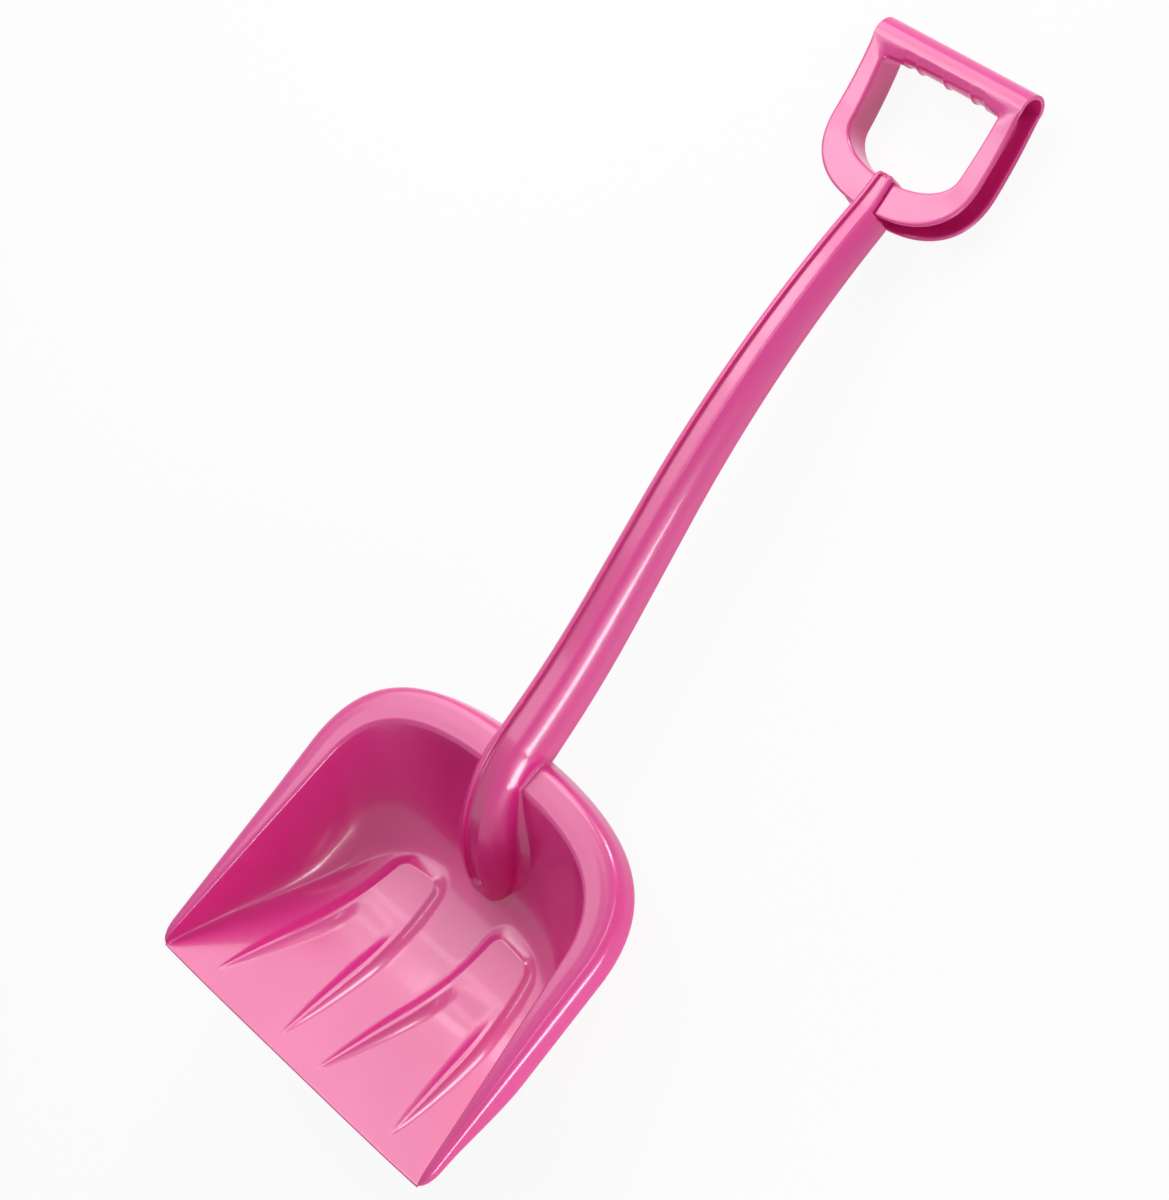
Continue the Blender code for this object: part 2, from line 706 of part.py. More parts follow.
def arch(outer, wall):
    """Points of the grip's upper half, from front edge to rear edge over the top."""
    points = []
    for cosine, sine in half_turn():
        rise = (GRIP_RADIUS - wall) * sine
        out = (HANDLE_HALF_DEPTH - wall) * cosine
        points.append(handle_point(outer[0], outer[1] + rise, out))
    return points


def make_handle_half(mesh):
    """Channel all round the hand hole, with the arch that turns its top into the tubular grip."""
    stations = loop_stations()
    skin = [channel(inner, outer, square, 0) for inner, outer, square, top in stations]
    lining = [channel(inner, outer, square, HANDLE_WALL) for inner, outer, square, top in stations]
    add_grid(mesh, skin)
    add_grid(mesh, lining)
    tops = [station for station in stations if station[3]]
    over = [arch(outer, 0) for inner, outer, square, top in tops]
    under = [arch(outer, HANDLE_WALL) for inner, outer, square, top in tops]
    add_grid(mesh, over)
    add_grid(mesh, under)
    add_grid(mesh, [over[-1], under[-1]])
    free = len(tops) - 1
    add_grid(mesh, [[line[0] for line in skin[free:]], [line[0] for line in lining[free:]]])
    add_grid(mesh, [[line[-1] for line in skin[free:]], [line[-1] for line in lining[free:]]])


# Plugs that the shaft is pushed over


def add_plug(mesh, stations, near, far):
    """Bar under the shaft's crest, between two depths at each station."""
    sections = []
    for station, start, end in zip(stations, near, far):
        half = PLUG_HALF_WIDTH
        corners = ((-half, start), (half, start), (half, end), (-half, end))
        sections.append([station.place(x, depth) for x, depth in corners])
    add_grid(mesh, [section + section[:1] for section in sections])
    for section in (sections[0], sections[-1]):
        add_grid(mesh, [section[:2], section[:1:-1]])


def make_tang(mesh):
    """Tang that rises from the scoop's back wall inside the nose and runs up inside the shaft."""
    stations = nose_stations()[int(NOSE_STEPS * TANG_START) :]
    stations += shaft_stations(end=TANG_LENGTH / SHAFT_LENGTH)
    near = [CREST_RECESS + SHAFT_WALL + PLUG_GAP for station in stations]
    far = []
    for station in stations:
        rests = station.crest[0] < RIM_INNER_REAR + SADDLE_BACK
        reach = station.depth + SCOOP_SEAT_GAP + PLUG_BITE
        far.append(reach if rests else near[0] + PLUG_DEPTH)
    add_plug(mesh, stations, near, far)


def make_tongue(mesh):
    """Tongue that runs from the bow's wall down inside the shaft."""
    stations = shaft_stations(start=1 - TONGUE_LENGTH / SHAFT_LENGTH)
    angle = HANDLE_FOOT_SLOPE - math.pi / 2
    for along in (BOW_WIDTH / 2, BOW_WIDTH - HANDLE_WALL / 2):
        crest = handle_place(along, HANDLE_HALF_DEPTH + CREST_LAP)
        depth = SHAFT_TOP_DEPTH
        stations.append(Station(crest, angle, depth, depth, SHAFT_TOP_HALF, LIP_TOP_HALF, 0))
    start = max(CREST_RECESS + SHAFT_WALL + PLUG_GAP, CREST_LAP + HANDLE_WALL / 2)
    near = [start for station in stations]
    far = [start + PLUG_DEPTH for station in stations]
    add_plug(mesh, stations, near, far)


# Assembly


def make_collection(name):
    collection = bpy.data.collections.new(name)
    bpy.context.scene.collection.children.link(collection)
    return collection


def make_object(name, maker, collection):
    """Mesh object from a function that fills a bmesh."""
    shape = bmesh.new()
    maker(shape)
    bmesh.ops.remove_doubles(shape, verts=shape.verts, dist=WELD)
    bmesh.ops.recalc_face_normals(shape, faces=shape.faces)
    data = bpy.data.meshes.new(name)
    shape.to_mesh(data)
    shape.free()
    made = bpy.data.objects.new(name, data)
    collection.objects.link(made)
    return made


def make_helper(name, maker, collection):
    helper = make_object(name, maker, collection)
    helper.hide_render = True
    helper.display_type = "WIRE"
    return helper


def mirror_across(piece):
    modifier = piece.modifiers.new("other half", "MIRROR")
    modifier.merge_threshold = 10 * WELD


def join_to(piece, helper):
    modifier = piece.modifiers.new("plug", "BOOLEAN")
    modifier.operation = "UNION"
    modifier.solver = "EXACT"
    modifier.object = helper


def make_plastic(name):
    material = bpy.data.materials.new(name)
    material.use_nodes = True
    shader = material.node_tree.nodes["Principled BSDF"]
    shader.inputs["Base Color"].default_value = PINK
    shader.inputs["Roughness"].default_value = ROUGHNESS
    shader.inputs["Metallic"].default_value = METALLIC
    return material


def outline_points(pieces):
    """Every vertex of the finished pieces, in the blade frame."""
    graph = bpy.context.evaluated_depsgraph_get()
    points = []
    for piece in pieces:
        mesh = piece.evaluated_get(graph).to_mesh()
        points += [vertex.co.copy() for vertex in mesh.vertices]
    return np.array(points)


def rest_tilt(points):
    """Angle by which the back of the shovel slopes: the support line under the heel and the handle."""
    heel = points[points[:, 1] < RIM_INNER_REAR]
    top = points[points[:, 1] > handle_place(0, 0)[0]]
    low, high = 0.0, math.pi / 2
    for step in range(SEARCH_STEPS):
        tilt = (low + high) / 2
        down = np.array([math.sin(tilt), -math.cos(tilt)])
        if (heel[:, 1:] @ down).max() > (top[:, 1:] @ down).max():
            low = tilt
        else:
            high = tilt
    return low


def lay_down(pieces, helpers):
    """Parents everything to an empty that lays the shovel on its back, centred on the origin."""
    points = outline_points(pieces)
    tilt = rest_tilt(points)
    turn = np.array([[math.cos(tilt), math.sin(tilt)], [-math.sin(tilt), math.cos(tilt)]])
    flat = points[:, 1:] @ turn.T
    rest = bpy.data.objects.new(OBJECT_NAME, None)
    bpy.data.collections[OBJECT_NAME].objects.link(rest)
    rest.rotation_euler = (-tilt, 0, 0)
    rest.location = (0, -(flat[:, 0].min() + flat[:, 0].max()) / 2, -flat[:, 1].min())
    for piece in pieces + helpers:
        piece.parent = rest


def main():
    for leftover in list(bpy.data.objects):
        bpy.data.objects.remove(leftover)
    parts = make_collection(OBJECT_NAME)
    helpers = make_collection("helpers")
    scoop = make_object("scoop", make_scoop_half, parts)
    shaft = make_object("shaft", make_shaft_half, parts)
    handle = make_object("d_handle", make_handle_half, parts)
    pieces = (scoop, shaft, handle)
    for piece in pieces:
        mirror_across(piece)
        piece.data.materials.append(make_plastic(piece.name + "_pink"))
    tang = make_helper("scoop_tang", make_tang, helpers)
    tongue = make_helper("handle_tongue", make_tongue, helpers)
    join_to(scoop, tang)
    join_to(handle, tongue)
    bpy.context.view_layer.update()
    lay_down(pieces, (tang, tongue))


main()
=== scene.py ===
"""Kids snow shovel: fine moulded surfaces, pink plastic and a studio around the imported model.

Laid out as an add-on and run as a script. Shapes are worked out in the blade frame, in metres: X across,
Y from the front edge to the handle, Z up out of the scoop, with the flat front of the floor on Z = 0.
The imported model's blade_underside mount says how that frame lies in the model.
"""

import functools
import json
import math

import bmesh
import bpy
import numpy as np
from mathutils import Matrix, Vector
from mathutils.bvhtree import BVHTree


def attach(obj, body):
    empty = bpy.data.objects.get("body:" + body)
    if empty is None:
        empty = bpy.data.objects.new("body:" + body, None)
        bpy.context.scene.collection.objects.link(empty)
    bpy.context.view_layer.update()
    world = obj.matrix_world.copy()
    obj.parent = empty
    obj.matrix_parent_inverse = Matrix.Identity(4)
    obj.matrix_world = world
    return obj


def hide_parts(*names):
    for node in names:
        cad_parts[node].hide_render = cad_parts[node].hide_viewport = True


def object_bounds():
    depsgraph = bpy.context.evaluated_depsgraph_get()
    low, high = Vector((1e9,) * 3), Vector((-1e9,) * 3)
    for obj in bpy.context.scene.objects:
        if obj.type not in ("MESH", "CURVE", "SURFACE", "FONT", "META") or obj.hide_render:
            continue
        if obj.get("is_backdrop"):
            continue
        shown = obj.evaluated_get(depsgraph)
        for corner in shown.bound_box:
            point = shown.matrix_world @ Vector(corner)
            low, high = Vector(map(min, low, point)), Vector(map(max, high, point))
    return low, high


bl_info = {
    "name": "Kids Snow Shovel",
    "version": (1, 0, 0),
    "blender": (4, 5, 0),
    "location": "View3D > Sidebar > Shovel",
    "description": "Dresses the packed snow shovel in fine surfaces, pink plastic and a studio",
    "category": "Add Mesh",
}

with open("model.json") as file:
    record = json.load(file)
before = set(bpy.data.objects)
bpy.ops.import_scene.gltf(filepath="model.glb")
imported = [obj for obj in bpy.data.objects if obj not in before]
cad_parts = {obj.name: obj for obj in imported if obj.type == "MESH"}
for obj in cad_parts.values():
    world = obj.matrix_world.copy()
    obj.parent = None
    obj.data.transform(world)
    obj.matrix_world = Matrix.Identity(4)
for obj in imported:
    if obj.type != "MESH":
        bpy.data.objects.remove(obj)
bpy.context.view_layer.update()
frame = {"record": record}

MM = 0.001
WELD = 1e-6
SHARP_ANGLE = math.radians(60)

# Scoop floor, with the sizes of the solids
BLADE_HALF_WIDTH = 110 * MM
FRONT_LIP = 1.5 * MM
FLOOR_LENGTH = 137 * MM
FLAT_LENGTH = 62 * MM
FLOOR_REAR_HEIGHT = 27 * MM
FLOOR_CURVE_POWER = 2.3
FLOOR_CORNER = (60 * MM, 126 * MM)
FLOOR_SIDE_PULL = (95 * MM, 100 * MM)
FLOOR_REAR_POWER = 4
FLOOR_SIDE_SHARE = 0.68
SIDE_SHARE_EVEN = 0.75
SIDE_SHARE_POWER = 11
WALL = 2.4 * MM
FRONT_CORNER_WALL = 1.2 * MM
FULL_WALL_FROM = 40 * MM
FRONT_EDGE = 1.3 * MM
FRONT_EDGE_RUN = 20 * MM
FRONT_ROUND = 9 * MM
FRONT_LEAST = 0.12
FRONT_START = FRONT_EDGE / 2 - FRONT_LIP

# Scoop walls and rim
WALL_DRAFT = math.radians(6)
WALL_FOOT_PULL = 0.8
WALL_TOP_PULL = 0.3
RIM_FRONT_HEIGHT = 4 * MM
RIM_SLOPE = math.atan(0.65)
RIM_SIDE_LENGTH = 112 * MM
RIM_SIDE_SHARE = 0.5
RIM_INNER_SIDE_HALF = 98 * MM
RIM_INNER_REAR = 156 * MM
RIM_INNER_PULLS = (37 * MM, 0.56)
RIM_FRONT_WIDTH = 4.4 * MM
RIM_OUTER_SIDE_HALF = 115.5 * MM
RIM_REAR_WIDTH = 16 * MM
RIM_OUTER_PULLS = (45 * MM, 0.66)
SKIRT_FRONT_DROP = 5 * MM
SKIRT_DROP = 14 * MM
SKIRT_FULL_FROM = 60 * MM
SKIRT_LEAST = 0.2 * MM
SKIRT_FLARE = 0.2
MOST_SHARE = 0.45
ROUND_SHARE = 0.3

# Ribs on the scoop floor
RIB_START = 8 * MM
RIB_END = 127 * MM
RIB_FULL_FROM = 80 * MM
RIB_INNER_FRONT = 15.8 * MM
RIB_INNER_REAR = 27 * MM
RIB_OUTER_FRONT = 75.8 * MM
RIB_OUTER_REAR = 51.2 * MM
RIB_TIP_CREST = 0.3 * MM
RIB_TIP_FOOT = 2.2 * MM
RIB_LEAST_SLOPE = 1 * MM
RIB_TO_SIDE = 3 * MM
RIB_END_BEFORE = 8 * MM
RIB_END_AFTER = 7 * MM
PLATEAU_START = 74 * MM
PLATEAU_FULL = 100 * MM

# Shaft
NOSE_LEAN = 10 * MM
NOSE_RISE = 36 * MM
NOSE_PULL = 46 * MM
SADDLE_BACK = 9 * MM
SADDLE_HEIGHT = 25.5 * MM
NOSE_START = 1.4 * MM
NOSE_TIP_HALF = 6.5 * MM
NOSE_WIDENS = 18 * MM
NOSE_BULGE = 6 * MM
NOSE_FOOT_TILT = 16 * MM
NOSE_FOOT_PITCH = math.radians(8)
NOSE_FLARE_RUN = 100 * MM
NOSE_FLARE_POWER = 0.55
FLARE_LEAN = 0.35
FLARE_LOW = 0.7
FLARE_LIFT = 0.2
FLARE_SINK = 0.6 * MM
SADDLE_FADE = 0.06
SHAFT_LENGTH = 328.5 * MM
SHAFT_FOOT_SLOPE = math.radians(38)
SHAFT_MIDDLE_SLOPE = math.radians(46.5)
SHAFT_TOP_SLOPE = math.radians(28)
SHAFT_STEEP_FROM = 0.27
SHAFT_STEEP_TO = 0.43
SHAFT_FOOT_HALF = 15 * MM
SHAFT_TOP_HALF = 11.3 * MM
SHAFT_FOOT_DEPTH = 26 * MM
SHAFT_TOP_DEPTH = 16.4 * MM
SHAFT_WALL = 2.4 * MM
SHOULDER_SHARE = 0.65
SHOULDER_ROUND = 0.24
SHOULDER_DROP = 0.5
SHOULDER_REACH = 1.25
SHOULDER_MOST = 0.95
LIP_FOOT_HALF = 6.8 * MM
LIP_TOP_HALF = 4.8 * MM
LIP_MOST_SHARE = 0.65
CEILING_SHARE = 0.8
CEILING_MOST = 0.8
INNER_REACH = 0.9
BEAD_SHARE = 0.1
RECESS_START = 8 * MM

# D-handle
HANDLE_LENGTH = 95.5 * MM
HANDLE_HALF_WIDTH = 51.5 * MM
HANDLE_HALF_DEPTH = 10 * MM
HANDLE_WALL = 2.4 * MM
HANDLE_FOOT_SLOPE = math.radians(33.5)
HANDLE_BEND = math.radians(26)
BOW_WIDTH = 19.5 * MM
LEG_WIDTH = 11.5 * MM
LEG_TAPER = 2 * MM
LEG_SHARE = 0.4
LEG_END = 40 * MM
BOW_PULL = 0.62
BOW_FLATNESS = 0.54
OUTER_PULL = 0.7
OUTER_FLATNESS = 0.6
GRIP_RADIUS = 9.6 * MM
HOLE_CORNER = 3 * MM
GRIP_END = 9 * MM
GRIP_END_FLAT = 0.4
FLANGE_CORNER = 1.8 * MM
LINING_CORNER = 0.4 * MM

# Joints between the pieces
CREST_LAP = 3.2 * MM
SEAT_GAP = 0.3 * MM
LAP_START = 0.02
HOOK_START = 0.08
HOOK_REACH = 18 * MM
HOOK_HALF = 7 * MM
HOOK_DOME_HALF = 5.8 * MM
HOOK_ROOT_HALF = 5.2 * MM
HOOK_TIP_HALF = 2.6 * MM
HOOK_LIP_SHARE = 0.68
HOOK_TIP_THICKNESS = 2 * MM
PLUG_HALF_WIDTH = 4.5 * MM
PLUG_GAP = 0.4 * MM
PLUG_DEPTH = 6 * MM
TANG_START = 0.34
TANG_LENGTH = 75 * MM
TONGUE_LENGTH = 50 * MM

# Camera of the photograph in the blade frame
PHOTO_SIZE = (1169, 1200)
PHOTO_FOCAL_PIXELS = 3000
SENSOR = 36
CAMERA_PLACE = (0.8841, -0.5006, 1.2455)
CAMERA_RIGHT = (0.6578, 0.7522, -0.0385)
CAMERA_DOWN = (0.4931, -0.4687, -0.7329)
CAMERA_FORWARD = (-0.5694, 0.4631, -0.6792)

# Noise of the plastic: its sizes, the ranges that show and their shares
CLOUD_SCALE = 14
CLOUD_DETAIL = 4
CLOUD_RANGE = (0.35, 0.7)
CLOUD_SHARE = 0.8
CLOUD_ROUGHNESS = 0.06
SPECK_GRAINS = 2
SPECK_DETAIL = 2
SPECK_RANGE = (0.4, 0.7)
GRAIN_DETAIL = 3
GRAIN_ROUGHNESS = 0.08
GRAIN_SHIFTS = {"scoop": (0, 0, 0), "shaft": (0.3, 0.1, 0), "d_handle": (0.1, 0.4, 0.2)}
SCUFF_SCALE = (260, 18, 260)
SCUFF_DETAIL = 5
SCUFF_RANGE = (0.6, 0.78)
SCUFF_HEIGHT = 0.1
NOISE_MIDDLE = 0.5

# Floor of the studio
FLOOR_HALF = 6
FLOOR_CELLS = 4
FLOOR_SINK = 0.2 * MM
WHITE = (1, 1, 1, 1)

# Mesh steps
RIB_COLUMNS = (8, 13, 5, 13, 14, 13, 5, 13, 14)
FLOOR_ROWS = (14, 60, 28, 4)
WALL_STEPS = 16
ROUND_STEPS = 8
BAND_STEPS = 10
SKIRT_STEPS = 3
EDGE_STEPS = 4
NOSE_STEPS = 100
SHAFT_STEPS = 250
LINE_STEPS = 60
RECESS_STEPS = 5
RECESS_WALL_STEPS = 8
LIP_STEPS = 3
SHOULDER_STEPS = 14
FLANK_STEPS = 10
FOOT_STEPS = 6
LINING_STEPS = 5
LAP_STEPS = 19
HOOK_TURN_STEPS = 11
HOOK_STEPS = 15
PLUG_EVERY = 4
FACE_STEPS = 10
SIDE_STEPS = 4
FLANGE_STEPS = 2 * (FACE_STEPS + ROUND_STEPS + SIDE_STEPS)
LEG_STEPS = 80
CORNER_STEPS = 20
GRIP_STEP = 0.7 * MM


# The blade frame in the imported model

MOUNT = next(mount for mount in frame["record"]["mounts"] if mount["name"] == "blade_underside")
MOUNT_BACK = 30 * MM
MOUNT_IN_BLADE = Vector((0, MOUNT_BACK, -WALL))
BLADE_TILT = math.atan2(-MOUNT["axis"][1], -MOUNT["axis"][2])
BLADE_TURN = Matrix.Rotation(-BLADE_TILT, 4, "X")
BLADE_TO_MODEL = Matrix.Translation(Vector(MOUNT["pos_m"]) - BLADE_TURN @ MOUNT_IN_BLADE) @ BLADE_TURN


# Settings


def length(name, description, default):
    """Setting for a length in metres."""
    return bpy.props.FloatProperty(name=name, description=description, default=default, unit="LENGTH")


def factor(name, description, default):
    """Setting for a plain number."""
    return bpy.props.FloatProperty(name=name, description=description, default=default, subtype="FACTOR")


def colour(name, description, default):
    """Setting for a colour."""
    return bpy.props.FloatVectorProperty(
        name=name, description=description, default=default, size=4, subtype="COLOR", min=0, max=1
    )


def power(name, description, default):
    """Setting for a lamp's power."""
    return bpy.props.FloatProperty(name=name, description=description, default=default, unit="POWER")


class ScoopSizes(bpy.types.PropertyGroup):
    """Sizes of the ribs and the rim."""

    rib_height: length("Rib height", "Height of the ribs above the floor", 2.8 * MM)
    rib_crest: length("Rib crest", "Half of the flat width of a rib's crest", 1.3 * MM)
    rib_foot: length("Rib foot", "Half of a rib's width at its foot", 10 * MM)
    rib_corner: length("Rib corner", "Corner radius at the rear end of the ribs", 5 * MM)
    rib_hollow: factor("Rib hollow", "Power that hollows the ribs' slopes towards their feet", 2)
    inner_round: length("Inner rounding", "Rounding of the rim's inner edge", 2.4 * MM)
    outer_round: length("Outer rounding", "Rounding of the rim's outer edge", 6.5 * MM)
    rim_crown: length("Rim crown", "How far the rim's face bulges", 0.3 * MM)


class ShaftSizes(bpy.types.PropertyGroup):
    """Sizes of the crest's recess and of the flare on the scoop."""

    recess: length("Recess", "Depth of the recess along the crest at the nose", 2.6 * MM)
    recess_top: length("Upper recess", "Depth of the recess along the crest at the handle", 1.8 * MM)
    recess_wall: length("Recess wall", "Width of the curved wall beside the recess", 1.3 * MM)
    lip: length("Lip", "Width of the flat lip beside the recess", 0.9 * MM)
    bead: length("Bead", "How far the lip stands above the shoulder", 0.3 * MM)
    flare: length("Flare", "How far the nose's flanks spread on the back wall", 8 * MM)
    saddle_flare: length("Saddle flare", "How far the flanks spread on the rim", 3.5 * MM)


class HandleSizes(bpy.types.PropertyGroup):
    """Sizes of the finger grooves."""

    ridge_spacing: length("Ridge spacing", "Distance between the ridges that part the fingers", 19 * MM)
    ridge_half: length("Ridge half width", "Half of a ridge's width at its foot", 1.9 * MM)
    groove_end: length("Groove end", "Distance from the middle to the end of the last groove", 31 * MM)
    groove_depth: length("Groove depth", "Depth of the finger grooves beside the ridges", 1.1 * MM)


class PlasticLook(bpy.types.PropertyGroup):
    """Colour and finish of the plastic."""

    pink: colour("Pink", "Colour of the plastic", (0.76, 0.026, 0.28, 1))
    deep_pink: colour("Deep pink", "Colour where the pigment lies thicker", (0.71, 0.018, 0.245, 1))
    roughness: factor("Roughness", "Roughness of the moulded face", 0.3)
    coat: factor("Coat", "Weight of the smooth skin on the moulded face", 0.5)
    coat_roughness: factor("Coat roughness", "Roughness of the smooth skin", 0.08)
    gloss: factor("Gloss", "Refractive index that sets the strength of the sheen", 1.63)
    grain: length("Grain", "Distance between the grains of the moulded face", 0.7 * MM)
    grain_depth: length("Grain depth", "Depth of the moulded grain", 0.012 * MM)
    scuffs: factor("Scuffs", "How much the scuffs dull the gloss", 0.04)


class StudioLook(bpy.types.PropertyGroup):
    """Light and floor."""

    key: power("Key light", "Power of the long softbox on the left", 10.4)
    front: power("Front light", "Power of the weaker softbox in front of the key light", 1.4)
    handle: power("Handle light", "Power of the small softbox beside the handle", 0.45)
    top: power("Top light", "Power of the narrow light above the camera", 2.0)
    back: power("Back light", "Power of the small light above the heel", 8.6)
    side: power("Side light", "Power of the low light on the right", 6.8)
    ambient: factor("Ambient", "Strength of the even light from all round", 0.14)
    floor: colour("Floor", "Colour of the floor", (0.93, 0.93, 0.93, 1))
    floor_white: factor("Floor white", "Share of plain white that the floor shows", 0.92)


class ShovelSettings(bpy.types.PropertyGroup):
    """All settings of the shovel."""

    scoop: bpy.props.PointerProperty(type=ScoopSizes, name="Scoop", description="Scoop sizes")
    shaft: bpy.props.PointerProperty(type=ShaftSizes, name="Shaft", description="Shaft sizes")
    handle: bpy.props.PointerProperty(type=HandleSizes, name="Handle", description="D-handle sizes")
    plastic: bpy.props.PointerProperty(type=PlasticLook, name="Plastic", description="Plastic finish")
    studio: bpy.props.PointerProperty(type=StudioLook, name="Studio", description="Light and floor")


# Nodes


def arithmetic(operation, reflected=False):
    """Method that adds a Math node, with the socket as its first value or, reflected, as its second."""

    def method(self, other):
        values = (other, self) if reflected else (self, other)
        return self.math(operation, *values)

    return method


class Socket:
    """An output of a node, with arithmetic that adds Math nodes."""

    def __init__(self, tree, output):
        self.tree = tree
        self.output = output

    def math(self, operation, *values):
        """Math node with these values."""
        return self.tree.add("ShaderNodeMath", {"operation": operation}, dict(enumerate(values)))

    __add__ = arithmetic("ADD")
    __radd__ = arithmetic("ADD", True)
    __sub__ = arithmetic("SUBTRACT")
    __rsub__ = arithmetic("SUBTRACT", True)
    __mul__ = arithmetic("MULTIPLY")
    __rmul__ = arithmetic("MULTIPLY", True)
    __truediv__ = arithmetic("DIVIDE")
    __pow__ = arithmetic("POWER")
    low = arithmetic("MINIMUM")
    high = arithmetic("MAXIMUM")

    def clamp(self):
        """The value, kept between 0 and 1."""
        return self.low(1).high(0)

    def ramp(self, start, end):
        """0 before start, 1 after end and a smooth step between."""
        values = {"Value": self, "From Min": start, "From Max": end}
        return self.tree.add("ShaderNodeMapRange", {"interpolation_type": "SMOOTHSTEP"}, values)


class Tree:
    """A node tree that adds a node from its type, its settings and its sockets' values or links."""

    def __init__(self, nodes):
        self.nodes = nodes

    def add(self, kind, settings=None, values=None, output=0):
        """New node, given as the socket of one of its outputs."""
        node = self.nodes.nodes.new(kind)
        for name, value in (settings or {}).items():
            setattr(node, name, value)
        for name, value in (values or {}).items():
            if isinstance(value, Socket):
                self.nodes.links.new(value.output, node.inputs[name])
            else:
                node.inputs[name].default_value = value
        return Socket(self, node.outputs[output]) if node.outputs else None

    def mix_colour(self, share, first, second):
        """Mix of two colours, whose sockets are told apart only by their numbers."""
        values = {0: share, 6: first, 7: second}
        return self.add("ShaderNodeMix", {"data_type": "RGBA"}, values, output=2)

    def noise(self, place, scale, detail):
        """Cloudy noise from 0 to 1."""
        return self.add("ShaderNodeTexNoise", None, {"Vector": place, "Scale": scale, "Detail": detail})

    def attribute(self, name):
        """Number that the mesh keeps under this name for each point."""
        return self.add("GeometryNodeInputNamedAttribute", {"data_type": "FLOAT"}, {"Name": name})


def fresh_tree(owner):
    """Empty node tree of a material or of the world."""
    owner.use_nodes = True
    owner.node_tree.nodes.clear()
    return Tree(owner.node_tree)


def open_tree(name, inputs):
    """New geometry node tree, with the sockets of the shape and of the numbers that go into it."""
    group = bpy.data.node_groups.new(name, "GeometryNodeTree")
    for side in ("INPUT", "OUTPUT"):
        group.interface.new_socket("Geometry", in_out=side, socket_type="NodeSocketGeometry")
    for item in inputs:
        group.interface.new_socket(item, in_out="INPUT", socket_type="NodeSocketFloat")
    tree = Tree(group)
    start = group.nodes.new("NodeGroupInput")
    return tree, [Socket(tree, start.outputs[item]) for item in ("Geometry", *inputs)]


def close_tree(tree, shape, distance, material):
    """Ends a geometry node tree: moves the shape's points along their normals and sets its material."""
    normal = tree.add("GeometryNodeInputNormal")
    offset = tree.add("ShaderNodeVectorMath", {"operation": "SCALE"}, {"Vector": normal, "Scale": distance})
    shape = tree.add("GeometryNodeSetPosition", None, {"Geometry": shape, "Offset": offset})
    shape = tree.add("GeometryNodeRealizeInstances", None, {"Geometry": shape})
    shape = tree.add("GeometryNodeSetMaterial", None, {"Geometry": shape, "Material": material})
    tree.add("NodeGroupOutput", None, {"Geometry": shape})
    return tree.nodes


# Geometry helpers


def blend(start, end, share):
    """Straight blend between two values or points."""
    return np.asarray(start) + (np.asarray(end) - np.asarray(start)) * share


def clamp(value):
    """A number, or each of many, kept between 0 and 1."""
    return np.clip(value, 0, 1)


def ramp(value, start, end):
    """0 before start, 1 after end and a smooth step between."""
    share = clamp((value - start) / (end - start))
    return share * share * (3 - 2 * share)


def quarter_round(share):
    """Rises along a quarter of a circle as the share goes from 0 to 1."""
    return np.sqrt(1 - (1 - share) ** 2)


def bezier(points, share):
    """Point on the Bezier curve with these control points, or many points at once."""
    points = [np.asarray(point, float) for point in points]
    while len(points) > 1:
        points = [a + (b - a) * share for a, b in zip(points, points[1:])]
    return points[0]


def even_shares(count, first=0):
    """Even shares from 0 to 1 in a column, from the first step that is wanted."""
    return np.linspace(0, 1, count + 1)[first:, None]


def sweep(curve, count, first=1):
    """Grid of points along one Bezier curve for each row of control points."""
    return bezier([points[:, None] for points in curve], even_shares(count, first))


def unit(vectors):
    """Vectors of the same direction and of length 1."""
    return vectors / np.linalg.norm(vectors, axis=-1, keepdims=True)


def add_object(name, data):
    """New object in the scene."""
    made = bpy.data.objects.new(name, data)
    bpy.context.scene.collection.objects.link(made)
    return made


def rounded_edge(first, second, outward):
    """Half-round edge between two rows of points, bulging outwards."""
    middle = (first + second) / 2
    half = (first - second) / 2
    bulge = np.linalg.norm(half, axis=-1, keepdims=True) * np.asarray(outward)
    turns = np.linspace(0, math.pi, EDGE_STEPS + 1)
    return np.array([middle + half * math.cos(turn) + bulge * math.sin(turn) for turn in turns])


class Shell:
    """Half of a piece: grids of points that are welded, mirrored and closed into one mesh."""

    def __init__(self, attributes=()):
        self.mesh = bmesh.new()
        self.layers = {name: self.mesh.verts.layers.float.new(name) for name in attributes}

    def add(self, grid, **values):
        """Adds the faces of a grid of points, with one number for each point of each attribute."""
        rows = [[self.mesh.verts.new(point) for point in row] for row in grid]
        for name, numbers in values.items():
            for row, line in zip(rows, numbers):
                for vertex, number in zip(row, line):
                    vertex[self.layers[name]] = number
        for near, far in zip(rows, rows[1:]):
            for corners in zip(near, near[1:], far[1:], far):
                self.mesh.faces.new(corners)

    def finish(self, name):
        """Object with the mirrored and closed mesh, turned into the model's frame."""
        mesh = self.mesh
        bmesh.ops.remove_doubles(mesh, verts=mesh.verts, dist=WELD)
        bmesh.ops.dissolve_degenerate(mesh, edges=mesh.edges, dist=WELD)
        bmesh.ops.mirror(mesh, geom=mesh.verts[:] + mesh.edges[:] + mesh.faces[:], axis="X", merge_dist=WELD)
        bmesh.ops.remove_doubles(mesh, verts=mesh.verts, dist=WELD)
        open_edges = [edge for edge in mesh.edges if edge.is_boundary]
        bmesh.ops.holes_fill(mesh, edges=open_edges)
        bmesh.ops.recalc_face_normals(mesh, faces=mesh.faces)
        mesh.transform(BLADE_TO_MODEL)
        for face in mesh.faces:
            face.smooth = True
        data = bpy.data.meshes.new(name)
        mesh.to_mesh(data)
        mesh.free()
        data.set_sharp_from_angle(angle=SHARP_ANGLE)
        return add_object(name, data)


